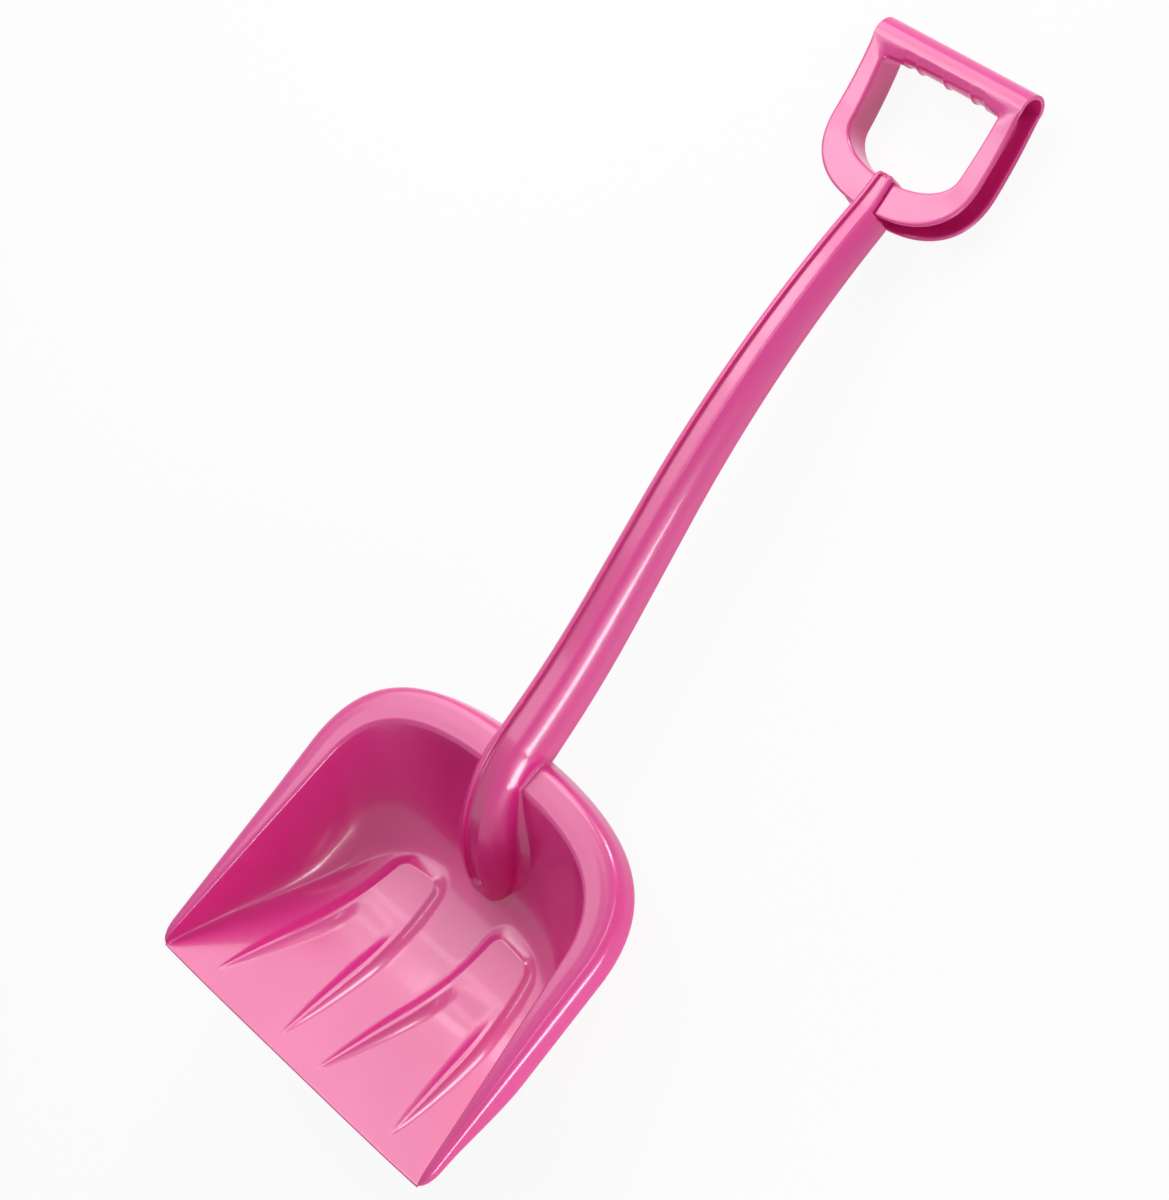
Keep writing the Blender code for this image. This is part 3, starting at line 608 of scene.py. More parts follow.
def apply_nodes(piece, tree, values):
    """Runs a geometry node tree on a piece and keeps the result as its plain mesh."""
    modifier = piece.modifiers.new(tree.name, "NODES")
    modifier.node_group = tree
    for item in tree.interface.items_tree:
        if item.name in values:
            modifier[item.identifier] = values[item.name]
    graph = bpy.context.evaluated_depsgraph_get()
    result = bpy.data.meshes.new_from_object(piece.evaluated_get(graph))
    piece.modifiers.clear()
    piece.data = result


def dress(piece, node):
    """Makes a finished piece ride in the model in place of its solid."""
    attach(piece, "root")
    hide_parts(node)


# Plastic


def moulded_plastic(node, look):
    """Pink polypropylene with cloudy pigment, moulded grain and faint scuffs."""
    material = bpy.data.materials.new("pink_" + node)
    tree = fresh_tree(material)
    place = tree.add("ShaderNodeTexCoord", output="Object")
    place = tree.add("ShaderNodeMapping", None, {"Vector": place, "Location": GRAIN_SHIFTS[node]})
    streaks = tree.add("ShaderNodeMapping", None, {"Vector": place, "Scale": SCUFF_SCALE})
    cloud = tree.noise(place, CLOUD_SCALE, CLOUD_DETAIL)
    speck = tree.noise(place, 1 / (SPECK_GRAINS * look.grain), SPECK_DETAIL)
    grain = tree.noise(place, 1 / look.grain, GRAIN_DETAIL)
    scuff = tree.noise(streaks, 1, SCUFF_DETAIL).ramp(*SCUFF_RANGE)
    pigment = cloud.ramp(*CLOUD_RANGE) * CLOUD_SHARE + speck.ramp(*SPECK_RANGE) * (1 - CLOUD_SHARE)
    base = tree.mix_colour(pigment.clamp(), tuple(look.pink), tuple(look.deep_pink))
    rough = look.roughness + (grain - NOISE_MIDDLE) * GRAIN_ROUGHNESS
    rough = rough + (cloud - NOISE_MIDDLE) * CLOUD_ROUGHNESS + scuff * look.scuffs
    height = grain + scuff * SCUFF_HEIGHT
    bump = tree.add("ShaderNodeBump", None, {"Strength": 1, "Distance": look.grain_depth, "Height": height})
    values = {"Base Color": base, "Roughness": rough, "Normal": bump, "IOR": look.gloss}
    values.update({"Coat Weight": look.coat, "Coat Roughness": look.coat_roughness})
    shader = tree.add("ShaderNodeBsdfPrincipled", None, values)
    tree.add("ShaderNodeOutputMaterial", None, {"Surface": shader})
    return material


# Scoop


def floor_height(y):
    """Height of the floor's upper face: flat at the front, then curving up to the back wall."""
    share = np.maximum(y - FLAT_LENGTH, 0) / (FLOOR_LENGTH - FLAT_LENGTH)
    return FLOOR_REAR_HEIGHT * share**FLOOR_CURVE_POWER


def floor_slope(y):
    """Rise of the floor per unit of Y."""
    share = np.maximum(y - FLAT_LENGTH, 0) / (FLOOR_LENGTH - FLAT_LENGTH)
    steepest = FLOOR_REAR_HEIGHT * FLOOR_CURVE_POWER / (FLOOR_LENGTH - FLAT_LENGTH)
    return steepest * share ** (FLOOR_CURVE_POWER - 1)


def floor_up(points):
    """Unit normals of the floor at these points."""
    slope = floor_slope(points[..., 1])
    return unit(np.stack([np.zeros_like(slope), -slope, np.ones_like(slope)], axis=-1))


def floor_starts():
    """Y of each floor row on the centre line, closer together round the ends of the ribs."""
    around_end = (RIB_END - RIB_END_BEFORE, RIB_END + RIB_END_AFTER)
    stops = (FRONT_START, RIB_START, *around_end, FLOOR_LENGTH)
    rows = []
    for near, far, count in zip(stops, stops[1:], FLOOR_ROWS):
        rows.append(np.linspace(near, far, count, endpoint=False))
    return np.concatenate([*rows, [FLOOR_LENGTH]])


def floor_share(starts):
    """Share of the floor's length in front of these rows."""
    return (starts - FRONT_START) / (FLOOR_LENGTH - FRONT_START)


def rib_lines(y, crest, foot, limit):
    """Share of a rib's full size at this Y, X of its two legs, and half widths of their crest and foot.

    The values are numbers or sockets, and limit keeps such a value between 0 and 1.
    """
    share = limit((y - RIB_START) / (RIB_END - RIB_START))
    grown = limit((y - RIB_START) / (RIB_FULL_FROM - RIB_START))
    grown = grown * (2 - grown)
    inner = share * (RIB_INNER_REAR - RIB_INNER_FRONT) + RIB_INNER_FRONT
    outer = share * (RIB_OUTER_REAR - RIB_OUTER_FRONT) + RIB_OUTER_FRONT
    crest = grown * (crest - RIB_TIP_CREST) + RIB_TIP_CREST
    foot = grown * (foot - RIB_TIP_FOOT) + RIB_TIP_FOOT
    return grown, inner, outer, crest, foot


def floor_grid(sizes):
    """Points of the floor without ribs, with the row's Y for each point. Columns follow the ribs."""
    starts = floor_starts()
    side = bezier(((BLADE_HALF_WIDTH, 0), FLOOR_SIDE_PULL, FLOOR_CORNER), floor_share(starts)[:, None])
    _, inner, outer, crest, foot = rib_lines(starts, sizes.rib_crest, sizes.rib_foot, clamp)
    last = np.minimum(outer + foot, side[:, 0] - RIB_TO_SIDE)
    stops = (
        0 * starts, inner - foot, inner - crest, inner + crest, inner + foot,
        outer - foot, outer - crest, np.minimum(outer + crest, last - RIB_LEAST_SLOPE), last, side[:, 0],
    )
    columns = []
    for near, far, count in zip(stops, stops[1:], RIB_COLUMNS):
        shares = np.linspace(0, 1, count, endpoint=False)
        columns.append(blend(near[:, None], far[:, None], shares))
    x = np.concatenate([*columns, side[:, :1]], axis=1)
    rows = np.repeat(starts[:, None], x.shape[1], axis=1)
    y = blend(rows, side[:, 1:], (x / side[:, :1]) ** FLOOR_REAR_POWER)
    return np.stack([x, y, floor_height(y)], axis=-1), rows


def rim_points(shares, front_half, side_half, rear, pulls):
    """Points of a rim edge in the sloping rim plane: a straight side, then one curve to the rear centre."""
    shares = shares[:, None]
    side_end = np.array([side_half, RIM_SIDE_LENGTH])
    lean = np.array([(side_half - front_half) / RIM_SIDE_LENGTH, 1])
    curve = (side_end, side_end + lean * pulls[0], (side_half * pulls[1], rear), (0, rear))
    straight = blend((front_half, 0), side_end, shares / RIM_SIDE_SHARE)
    round_part = bezier(curve, np.maximum(shares - RIM_SIDE_SHARE, 0) / (1 - RIM_SIDE_SHARE))
    plan = np.where(shares < RIM_SIDE_SHARE, straight, round_part)
    full = front_growth(plan[:, 1:])
    plan[:, :1] -= (front_half - BLADE_HALF_WIDTH) * (1 - full)
    height = RIM_FRONT_HEIGHT * full + math.tan(RIM_SLOPE) * plan[:, 1:]
    return np.concatenate([plan, height], axis=1)


def front_growth(y):
    """Share of the rim's front width and height that stands at this Y, round at the front corners."""
    part = clamp(y / FRONT_ROUND)
    return blend(FRONT_LEAST, 1, quarter_round(part))


def scoop_wall_at(y):
    """Wall thickness of the side walls and rim, thinner at the front corners."""
    return blend(FRONT_CORNER_WALL, WALL, ramp(y, 0, FULL_WALL_FROM))


def skirt_down(across):
    """Direction of the skirt below the rim's outer edge."""
    square = np.array([0, math.sin(RIM_SLOPE), -math.cos(RIM_SLOPE)])
    return unit(square + across * SKIRT_FLARE)


def rim_edges(shares):
    """Inner and outer edge of the rim."""
    inner = rim_points(shares, BLADE_HALF_WIDTH, RIM_INNER_SIDE_HALF, RIM_INNER_REAR, RIM_INNER_PULLS)
    outer_front = BLADE_HALF_WIDTH + RIM_FRONT_WIDTH
    outer_rear = RIM_INNER_REAR + RIM_REAR_WIDTH
    outer = rim_points(shares, outer_front, RIM_OUTER_SIDE_HALF, outer_rear, RIM_OUTER_PULLS)
    return inner, outer


def wall_curve(feet, inner, inner_round):
    """Control points of the wall, which starts along the floor and ends with draft below the rim."""
    plan = unit((inner - feet)[:, :2] + WELD)
    plan = np.concatenate([plan, np.zeros_like(inner_round)], axis=1)
    up = unit(plan * math.tan(WALL_DRAFT) + (0, 0, 1))
    rise = floor_slope(feet[:, 1]) * plan[:, 1]
    along_floor = plan + rise[:, None] * (0, 0, 1)
    top = inner - up * inner_round
    drop = (top - feet)[:, 2] * math.tan(WALL_DRAFT)
    reach = np.maximum(((top - feet) * plan).sum(axis=1) - drop, 0)
    corner = feet + along_floor * reach[:, None]
    return feet, blend(feet, corner, WALL_FOOT_PULL), blend(corner, top, WALL_TOP_PULL), top


def skirt_fall(outer, feet):
    """Distance from the rim's outer edge down to the skirt's rounded lower edge."""
    y = outer[:, 1:2]
    fall = blend(SKIRT_FRONT_DROP, SKIRT_DROP, ramp(y, 0, SKIRT_FULL_FROM))
    return fall * front_growth(y) - scoop_wall_at(feet[:, 1:2]) / 2


def wall_strips(feet, shares, sizes):
    """Grid of points from the floor's edge up the wall, over the rounded rim and down the skirt."""
    inner, outer = rim_edges(shares)
    width = np.linalg.norm(outer - inner, axis=1, keepdims=True)
    across = (outer - inner) / width
    inner_round = np.minimum(sizes.inner_round, ROUND_SHARE * width)
    outer_round = np.minimum(sizes.outer_round, MOST_SHARE * width)
    wall = wall_curve(feet, inner, inner_round)
    over = (wall[-1], inner, inner + across * inner_round)
    down = skirt_down(across)
    edge = (outer - across * outer_round, outer, outer + down * outer_round)
    low = outer + down * np.maximum(skirt_fall(outer, feet), outer_round + SKIRT_LEAST)
    rim_up = np.array([0, -math.sin(RIM_SLOPE), math.cos(RIM_SLOPE)])
    crown = sizes.rim_crown * (width - inner_round - outer_round) / RIM_REAR_WIDTH
    band = even_shares(BAND_STEPS, 1)
    bulge = (4 * band * (1 - band)) ** 2 * crown[:, None] * rim_up
    return np.concatenate([
        sweep(wall, WALL_STEPS, 0),
        sweep(over, ROUND_STEPS),
        sweep((over[-1], edge[0]), BAND_STEPS) + bulge,
        sweep(edge, ROUND_STEPS),
        sweep((edge[-1], low), SKIRT_STEPS),
    ], axis=1)


def strip_shares(floor, rows):
    """Share of the rim that each wall strip reaches, along the side and then along the rear."""
    part = floor_share(rows[:, 0])
    side = FLOOR_SIDE_SHARE * (SIDE_SHARE_EVEN * part + (1 - SIDE_SHARE_EVEN) * part**SIDE_SHARE_POWER)
    rear = 1 - (1 - FLOOR_SIDE_SHARE) * floor[-1, -2::-1, 0] / FLOOR_CORNER[0]
    return np.concatenate([side, rear])


def border(grid):
    """Outer side and rear edge of a floor grid, from the front to the rear centre."""
    return np.concatenate([grid[:, -1], grid[-1, -2::-1]])


def underside(strips):
    """Unit vectors from the inner face of the wall strips towards their outer face."""
    along = np.gradient(strips, axis=0)
    across = np.gradient(strips, axis=1)
    normals = np.cross(along, across)
    normals[np.abs(strips[..., 0]) < WELD, 0] = 0
    return unit(normals)


def upper_faces(sizes):
    """Upper floor, its rows, and the wall strips that start at its edge."""
    floor, rows = floor_grid(sizes)
    return floor, rows, wall_strips(border(floor), strip_shares(floor, rows), sizes)


def lower_faces(floor, rows, strips):
    """Faces one wall thickness below the floor and outside the strips."""
    thick = blend(FRONT_EDGE, WALL, ramp(rows, 0, FRONT_EDGE_RUN))
    thick[:, -1] = scoop_wall_at(floor[:, -1, 1])
    bottom = floor - floor_up(floor) * thick[..., None]
    beside = strips[:, :1, 1:2]
    under = strips + underside(strips) * scoop_wall_at(beside) * front_growth(beside)
    under[:, 0] = border(bottom)
    return bottom, under


def rib_tree(material):
    """Geometry nodes that raise the ribs out of the scoop's floor along its normals."""
    inputs = ("Height", "Crest", "Foot", "Corner", "Hollow")
    tree, (shape, height, crest, foot, corner, hollow) = open_tree("floor_ribs", inputs)
    x, y, upper = (tree.attribute(name) for name in ("rib_x", "rib_y", "upper"))
    grown, inner, outer, crest, foot = rib_lines(y, crest, foot, Socket.clamp)
    slope = foot - crest
    side = (x - inner + crest).low(outer + crest - x)
    past_side = (corner - side).high(0)
    past_rear = (corner - (RIB_END - y)).high(0)
    outside = (past_side * past_side + past_rear * past_rear) ** 0.5 - corner
    rim = (1 - outside / slope).clamp() ** hollow
    between = (x - inner - crest).low(outer - crest - x)
    leg = (1 - between / slope).clamp() ** hollow
    plateau = y.ramp(PLATEAU_START, PLATEAU_FULL)
    top = leg + plateau * (1 - leg)
    rise = height * grown * rim * top * upper
    return close_tree(tree, shape, rise, material)


def make_scoop(settings):
    """Thin-walled scoop with rounded rim and edges, tang and ribs."""
    sizes = settings.scoop
    scoop_surface.cache_clear()
    floor, rows, strips = upper_faces(sizes)
    bottom, under = lower_faces(floor, rows, strips)
    shell = Shell(("rib_x", "rib_y", "upper"))
    shell.add(floor, rib_x=floor[..., 0], rib_y=rows, upper=np.ones_like(rows))
    shell.add(bottom)
    shell.add(strips)
    shell.add(under)
    front = (0, -1, 0)
    shell.add(rounded_edge(floor[0], bottom[0], front))
    front_edge = rounded_edge(strips[0], under[0], front)
    shell.add(front_edge)
    down = unit(strips[:, -1] - strips[:, -2])
    low_edge = rounded_edge(strips[:, -1], under[:, -1], down)
    shell.add(low_edge)
    shell.add([front_edge[:, -1], low_edge[:, 0]])
    add_plug(shell, tang_stations(settings.shaft))
    scoop = shell.finish("moulded_scoop")
    material = moulded_plastic("scoop", settings.plastic)
    values = {
        "Height": sizes.rib_height,
        "Crest": sizes.rib_crest,
        "Foot": sizes.rib_foot,
        "Corner": sizes.rib_corner,
        "Hollow": sizes.rib_hollow,
    }
    apply_nodes(scoop, rib_tree(material), values)
    dress(scoop, "scoop")


# Shaft


def shaft_slope(share):
    """Slope of the shaft: steepest part way up, then lying back towards the handle."""
    if share < SHAFT_STEEP_TO:
        return blend(SHAFT_FOOT_SLOPE, SHAFT_MIDDLE_SLOPE, ramp(share, 0, SHAFT_STEEP_FROM))
    return blend(SHAFT_MIDDLE_SLOPE, SHAFT_TOP_SLOPE, (share - SHAFT_STEEP_TO) / (1 - SHAFT_STEEP_TO))


def slope_normal(slope):
    """Unit vector in Y and Z out of a face with this slope."""
    return np.array([-math.sin(slope), math.cos(slope)])


@functools.cache
def nose_line():
    """Crest of the nose in Y and Z, from the floor to the point above the rim."""
    start = FLOOR_LENGTH - NOSE_START
    foot = np.array([start, floor_height(start) + NOSE_START / 2])
    rim = np.array([RIM_INNER_REAR, RIM_FRONT_HEIGHT + math.tan(RIM_SLOPE) * RIM_INNER_REAR])
    saddle = rim + (SADDLE_BACK, SADDLE_HEIGHT)
    slope = np.array([math.cos(SHAFT_FOOT_SLOPE), math.sin(SHAFT_FOOT_SLOPE)])
    curve = (foot, foot + (-NOSE_LEAN, NOSE_RISE), saddle - slope * NOSE_PULL, saddle)
    return bezier(curve, even_shares(NOSE_STEPS))


@functools.cache
def shaft_point(share):
    """Crest of the shaft in Y and Z at this share of its length, as a sum of short steps."""
    slopes = [shaft_slope(share * (step + 0.5) / LINE_STEPS) for step in range(LINE_STEPS)]
    run = SHAFT_LENGTH * share / LINE_STEPS
    return nose_line()[-1] + run * np.array([np.cos(slopes).sum(), np.sin(slopes).sum()])


class Station:
    """One cross-section of the shaft: crest point, direction into the depth, and sizes."""

    def __init__(self, crest, into, half, lip, depth, full):
        self.crest = np.asarray(crest)
        self.into = np.asarray(into)
        self.half = half
        self.lip = lip
        self.depth = depth
        self.full = full
        self.cut = 0
        self.recess = 0
        self.flare = 0
        self.lift = 0

    def place(self, x, depth):
        """Point of the section at this X and depth below the crest."""
        y, z = self.crest + self.into * depth
        return np.array([x, y, z])


@functools.cache
def scoop_surface():
    """Search tree of the scoop's upper faces on the side of positive X, kept until the next scoop."""
    floor, _, strips = upper_faces(bpy.context.scene.snow_shovel.scoop)
    points = []
    faces = []
    for grid in (floor, strips):
        numbers = len(points) + np.arange(grid[..., 0].size).reshape(grid.shape[:2])
        corners = (numbers[:-1, :-1], numbers[:-1, 1:], numbers[1:, 1:], numbers[1:, :-1])
        faces += np.stack(corners, axis=-1).reshape(-1, len(corners)).tolist()
        points += grid.reshape(-1, grid.shape[-1]).tolist()
    return BVHTree.FromPolygons(points, faces)


def depth_to_scoop(station, x):
    """Depth at which a section meets the scoop's face at this X, or infinity."""
    above = SHAFT_FOOT_DEPTH
    start = Vector(station.place(x, -above))
    reach = above + 2 * SHAFT_FOOT_DEPTH
    point, _, _, distance = scoop_surface().ray_cast(start, Vector((0, *station.into)), reach)
    return math.inf if point is None else distance - above


def seat(station, most):
    """Lets a section's flanks reach the scoop's face, or their free depth where it is nearer."""
    reach = depth_to_scoop(station, station.half + station.flare)
    station.depth = min(most, reach + FLARE_SINK + SHAFT_WALL / 2)
    if math.isinf(reach):
        station.flare = 0


def nose_stations(sizes):
    """Sections of the nose, whose flanks spread onto the scoop's back wall."""
    line = nose_line()
    tangents = unit(np.gradient(line, axis=0))
    runs = np.concatenate([[0], np.cumsum(np.linalg.norm(np.diff(line, axis=0), axis=1))])
    foot_angle = math.atan(floor_slope(line[0][1])) + NOSE_FOOT_PITCH
    stations = []
    for crest, tangent, run in zip(line[:-1], tangents, runs):
        square = math.atan2(tangent[1], tangent[0]) - math.pi / 2
        angle = blend(foot_angle, square, ramp(run, 0, NOSE_FOOT_TILT))
        swell = quarter_round(min(run / NOSE_WIDENS, 1))
        arc = math.sin(math.pi * min(run / NOSE_FLARE_RUN, 1) ** NOSE_FLARE_POWER) ** 2
        half = blend(NOSE_TIP_HALF, SHAFT_FOOT_HALF, swell) + NOSE_BULGE * arc
        lip = min(LIP_FOOT_HALF, LIP_MOST_SHARE * half)
        into = (math.cos(angle), math.sin(angle))
        station = Station(crest, into, half, lip, 0, SHAFT_FOOT_DEPTH)
        station.flare = sizes.flare * arc + sizes.saddle_flare * ramp(run, 0, NOSE_FLARE_RUN)
        station.lift = FLARE_LIFT * arc
        cut = lip - sizes.lip
        round_end = min(max(run - RECESS_START, 0) / cut, 1)
        station.cut = cut * quarter_round(round_end)
        station.recess = sizes.recess * ramp(station.cut, 0, 2 * sizes.recess_wall)
        seat(station, SHAFT_FOOT_DEPTH)
        stations.append(station)
    return stations


def shaft_station(share, sizes):
    """Section of the shaft at this share of its length from above the rim to the bow."""
    slope = shaft_slope(share)
    full = blend(SHAFT_FOOT_DEPTH, SHAFT_TOP_DEPTH, share)
    half = blend(SHAFT_FOOT_HALF, SHAFT_TOP_HALF, share)
    lip = blend(LIP_FOOT_HALF, LIP_TOP_HALF, share)
    station = Station(shaft_point(share), -slope_normal(slope), half, lip, full, full)
    station.flare = sizes.saddle_flare * (1 - ramp(share, 0, SADDLE_FADE))
    station.cut = lip - sizes.lip
    station.recess = blend(sizes.recess, sizes.recess_top, share)
    seat(station, full)
    return station


def shaft_stations(sizes, start=0, end=1):
    """Sections of the shaft between two shares of its length."""
    shares = np.linspace(0, 1, SHAFT_STEPS + 1)
    return [shaft_station(share, sizes) for share in shares if start <= share <= end]


def handle_place(along, out):
    """Y and Z of a point of the bent handle, from its distances along the face and out of it."""
    foot = HANDLE_FOOT_SLOPE
    start = shaft_point(1) - (HANDLE_HALF_DEPTH + CREST_LAP) * slope_normal(foot)
    radius = HANDLE_LENGTH / HANDLE_BEND
    turn = foot + HANDLE_BEND * along / HANDLE_LENGTH
    arc = radius * np.array([math.sin(turn) - math.sin(foot), math.cos(foot) - math.cos(turn)])
    return start + arc + out * slope_normal(turn)


def hook_station(crest, foot, half, sizes, opened):
    """Section of the crest's end, from a crest point down to a point on the handle."""
    into = foot - crest
    depth = np.linalg.norm(into)
    lip = half * HOOK_LIP_SHARE
    station = Station(crest, into / depth, half, lip, depth, depth)
    station.cut = (lip - sizes.lip) * opened
    station.recess = sizes.recess_top * opened
    return station


def hook_stations(sizes):
    """Sections of the crest's end, which laps over the bow and hooks into the hand hole."""
    stations = []
    thick = CREST_LAP - SEAT_GAP
    face = HANDLE_HALF_DEPTH + CREST_LAP
    for share in np.linspace(LAP_START, 1 - LAP_START, LAP_STEPS + 1):
        along = BOW_WIDTH * share
        foot = handle_place(along, face - thick)
        width = blend(HOOK_HALF, HOOK_DOME_HALF, share)
        stations.append(hook_station(handle_place(along, face), foot, width, sizes, 1))
    pivot = (BOW_WIDTH + SEAT_GAP, HANDLE_HALF_DEPTH + SEAT_GAP)
    for turn in np.linspace(0, math.pi / 2, HOOK_TURN_STEPS + 1):
        crest = handle_place(pivot[0] + thick * math.sin(turn), pivot[1] + thick * math.cos(turn))
        width = blend(HOOK_DOME_HALF, HOOK_ROOT_HALF, math.sin(turn) ** 2)
        stations.append(hook_station(crest, handle_place(*pivot), width, sizes, math.cos(turn) ** 2))
    for share in np.linspace(HOOK_START, 1, HOOK_STEPS + 1):
        out = pivot[1] - HOOK_REACH * share
        size = blend(thick, HOOK_TIP_THICKNESS, share)
        width = blend(HOOK_ROOT_HALF, HOOK_TIP_HALF, share**2)
        tip = handle_place(pivot[0] + size, out)
        stations.append(hook_station(tip, handle_place(pivot[0], out), width, sizes, 0))
    return stations


def shoulder(lip, half, top, reach):
    """Rounded shoulder from the lip down to the flank."""
    knee = (lip + SHOULDER_ROUND * (half - lip), top)
    curve = ((lip, top), knee, (half, top + reach * SHOULDER_DROP), (half, top + reach))
    return bezier(curve, even_shares(SHOULDER_STEPS))


def crest_lines(station, sizes):
    """Recess, its curved wall and the lip, from the middle outwards."""
    cut, recess = station.cut, station.recess
    floor = max(cut - sizes.recess_wall, 0)
    middle = (floor + cut) / 2
    wall = ((floor, recess), (middle, recess), (middle, 0), (cut, 0))
    return [
        blend((0, recess), (floor, recess), even_shares(RECESS_STEPS)),
        bezier(wall, even_shares(RECESS_WALL_STEPS, 1)),
        blend((cut, 0), (station.lip, 0), even_shares(LIP_STEPS, 1)),
    ]


def flank_line(station, reach, foot):
    """Flank from the end of the shoulder down to its foot, which may flare."""
    half, spread = station.half, station.half + station.flare
    knee = (half + FLARE_LEAN * station.flare, blend(reach, foot, FLARE_LOW))
    curve = ((half, reach), (half, blend(reach, foot, FLARE_LEAN)), knee, (spread, foot))
    return bezier(curve, even_shares(FLANK_STEPS, 1))


def foot_edge(inside, outside, foot, wall):
    """Half-round lower edge of a flank."""
    middle = (outside + inside) / 2
    half = (outside - inside) / 2
    turns = np.linspace(0, math.pi, FOOT_STEPS + 1)[1:-1]
    return [(middle + half * math.cos(turn), foot + wall / 2 * math.sin(turn)) for turn in turns]


def section(station, sizes):
    """Half outline of an inverted U: recess, lip, shoulder, flank, round edge, then the inside."""
    half, lip, depth = station.half, station.lip, station.depth
    wall = min(SHAFT_WALL, MOST_SHARE * half, MOST_SHARE * depth)
    foot = depth - wall / 2
    inside = half - wall
    reach = SHOULDER_SHARE * min(station.full, SHOULDER_REACH * depth)
    reach = min(reach, foot * SHOULDER_MOST) * (1 - station.lift)
    bead = min(sizes.bead, reach * BEAD_SHARE)
    ceiling = min(max(station.recess, sizes.recess) + wall, foot * CEILING_MOST)
    inner_reach = max(reach - ceiling, 0) * INNER_REACH
    inner = shoulder(min(lip, inside) * CEILING_SHARE, inside, ceiling, inner_reach)
    outline = [
        *crest_lines(station, sizes),
        shoulder(lip + bead, half, bead, reach - bead),
        flank_line(station, reach, foot),
        foot_edge(inside, half + station.flare, foot, wall),
        blend((inside, foot), inner[-1], even_shares(LINING_STEPS)[:-1]),
        inner[::-1],
        [(0, ceiling)],
    ]
    return [station.place(x, d) for x, d in np.concatenate(outline)]


def make_shaft(settings):
    """Channel shaft lofted from the nose over the rim to the hook."""
    sizes = settings.shaft
    stations = nose_stations(sizes) + shaft_stations(sizes) + hook_stations(sizes)
    shell = Shell()
    shell.add(np.array([section(station, sizes) for station in stations]))
    shaft = shell.finish("moulded_shaft")
    shaft.data.materials.append(moulded_plastic("shaft", settings.plastic))
    dress(shaft, "shaft")


# Plugs inside the shaft


def add_plug(shell, stations):
    """Half of a bar under the shaft's crest, between two depths at each station."""
    rows = []
    for station, near, far in stations:
        half = PLUG_HALF_WIDTH
        corners = ((0, near), (half, near), (half, far), (0, far))
        rows.append([station.place(x, depth) for x, depth in corners])
    shell.add(rows)
    for row in (rows[0], rows[-1]):
        shell.add([row[:2], row[:1:-1]])


def plug_top(sizes):
    """Depth of a plug's upper face, just under the shaft's crest."""
    return sizes.recess + SHAFT_WALL + PLUG_GAP


def tang_stations(sizes):
    """Sections of the scoop's tang inside the nose and the foot of the shaft."""
    near = plug_top(sizes)
    nose = nose_stations(sizes)[int(NOSE_STEPS * TANG_START) :: PLUG_EVERY]
    rests = [(station, near, max(station.depth, near + PLUG_DEPTH)) for station in nose]
    free = shaft_stations(sizes, end=TANG_LENGTH / SHAFT_LENGTH)[::PLUG_EVERY]
    return rests + [(station, near, near + PLUG_DEPTH) for station in free]


def tongue_stations(sizes):
    """Sections of the handle's tongue inside the top of the shaft."""
    near = max(plug_top(sizes), CREST_LAP + HANDLE_WALL / 2)
    stations = shaft_stations(sizes, start=1 - TONGUE_LENGTH / SHAFT_LENGTH)[::PLUG_EVERY]
    for along in (BOW_WIDTH / 2, BOW_WIDTH - HANDLE_WALL / 2):
        crest = handle_place(along, HANDLE_HALF_DEPTH + CREST_LAP)
        into = -slope_normal(HANDLE_FOOT_SLOPE)
        stations.append(Station(crest, into, SHAFT_TOP_HALF, LIP_TOP_HALF, SHAFT_TOP_DEPTH, SHAFT_TOP_DEPTH))
    return [(station, near, near + PLUG_DEPTH) for station in stations]


# D-handle


def loop_edge(share, side, taper, bow, pull, flatness):
    """Point on half of the loop below the grip: a straight leg, then one curve to the bow's centre."""
    top = HANDLE_LENGTH - 2 * GRIP_RADIUS - HOLE_CORNER
    low = side - taper
    if share < LEG_SHARE:
        return blend((side, top), (low, LEG_END), share / LEG_SHARE)
    pulled = blend(LEG_END, bow, pull)
    curve = ((low, LEG_END), (low, pulled), (low * flatness, bow), (0, bow))
    return bezier(curve, (share - LEG_SHARE) / (1 - LEG_SHARE))


def hole_point(share):
    """Edge of the hand hole, from the top of the leg round to the bow's centre."""
    return loop_edge(share, HANDLE_HALF_WIDTH - LEG_WIDTH, LEG_TAPER, BOW_WIDTH, BOW_PULL, BOW_FLATNESS)


def outer_point(share):
    """Outer edge of the flanges opposite hole_point."""
    return loop_edge(share, HANDLE_HALF_WIDTH, 0, 0, OUTER_PULL, OUTER_FLATNESS)


def loop_stations():
    """Hole edge, outer edge, flatness and whether the grip's arch stands on it, from grip to bow."""
    axis = HANDLE_LENGTH - GRIP_RADIUS
    hole_top = axis - GRIP_RADIUS
    corner_x = HANDLE_HALF_WIDTH - LEG_WIDTH - HOLE_CORNER
    stations = []
    for x in np.linspace(0, corner_x, int(corner_x / GRIP_STEP)):
        flat = GRIP_END_FLAT * ramp(x, corner_x - GRIP_END, corner_x)
        stations.append(((x, hole_top), (x, axis), flat, True))
    leg_top = hole_top - HOLE_CORNER
    half_way = CORNER_STEPS // 2
    for step in range(1, CORNER_STEPS):
        turn = math.pi / 2 * step / CORNER_STEPS
        inner = (corner_x + HOLE_CORNER * math.sin(turn), leg_top + HOLE_CORNER * math.cos(turn))
        on_top = step <= half_way
        if on_top:
            outer = (blend(corner_x, HANDLE_HALF_WIDTH, step / half_way), axis)
        else:
            outer = (HANDLE_HALF_WIDTH, blend(axis, leg_top, step / half_way - 1))
        flat = blend(GRIP_END_FLAT, 1, ramp(step, 0, CORNER_STEPS))
        stations.append((inner, outer, flat, on_top))
    for share in np.linspace(0, 1, LEG_STEPS + 1):
        stations.append((hole_point(share), outer_point(share), 1, False))
    return stations


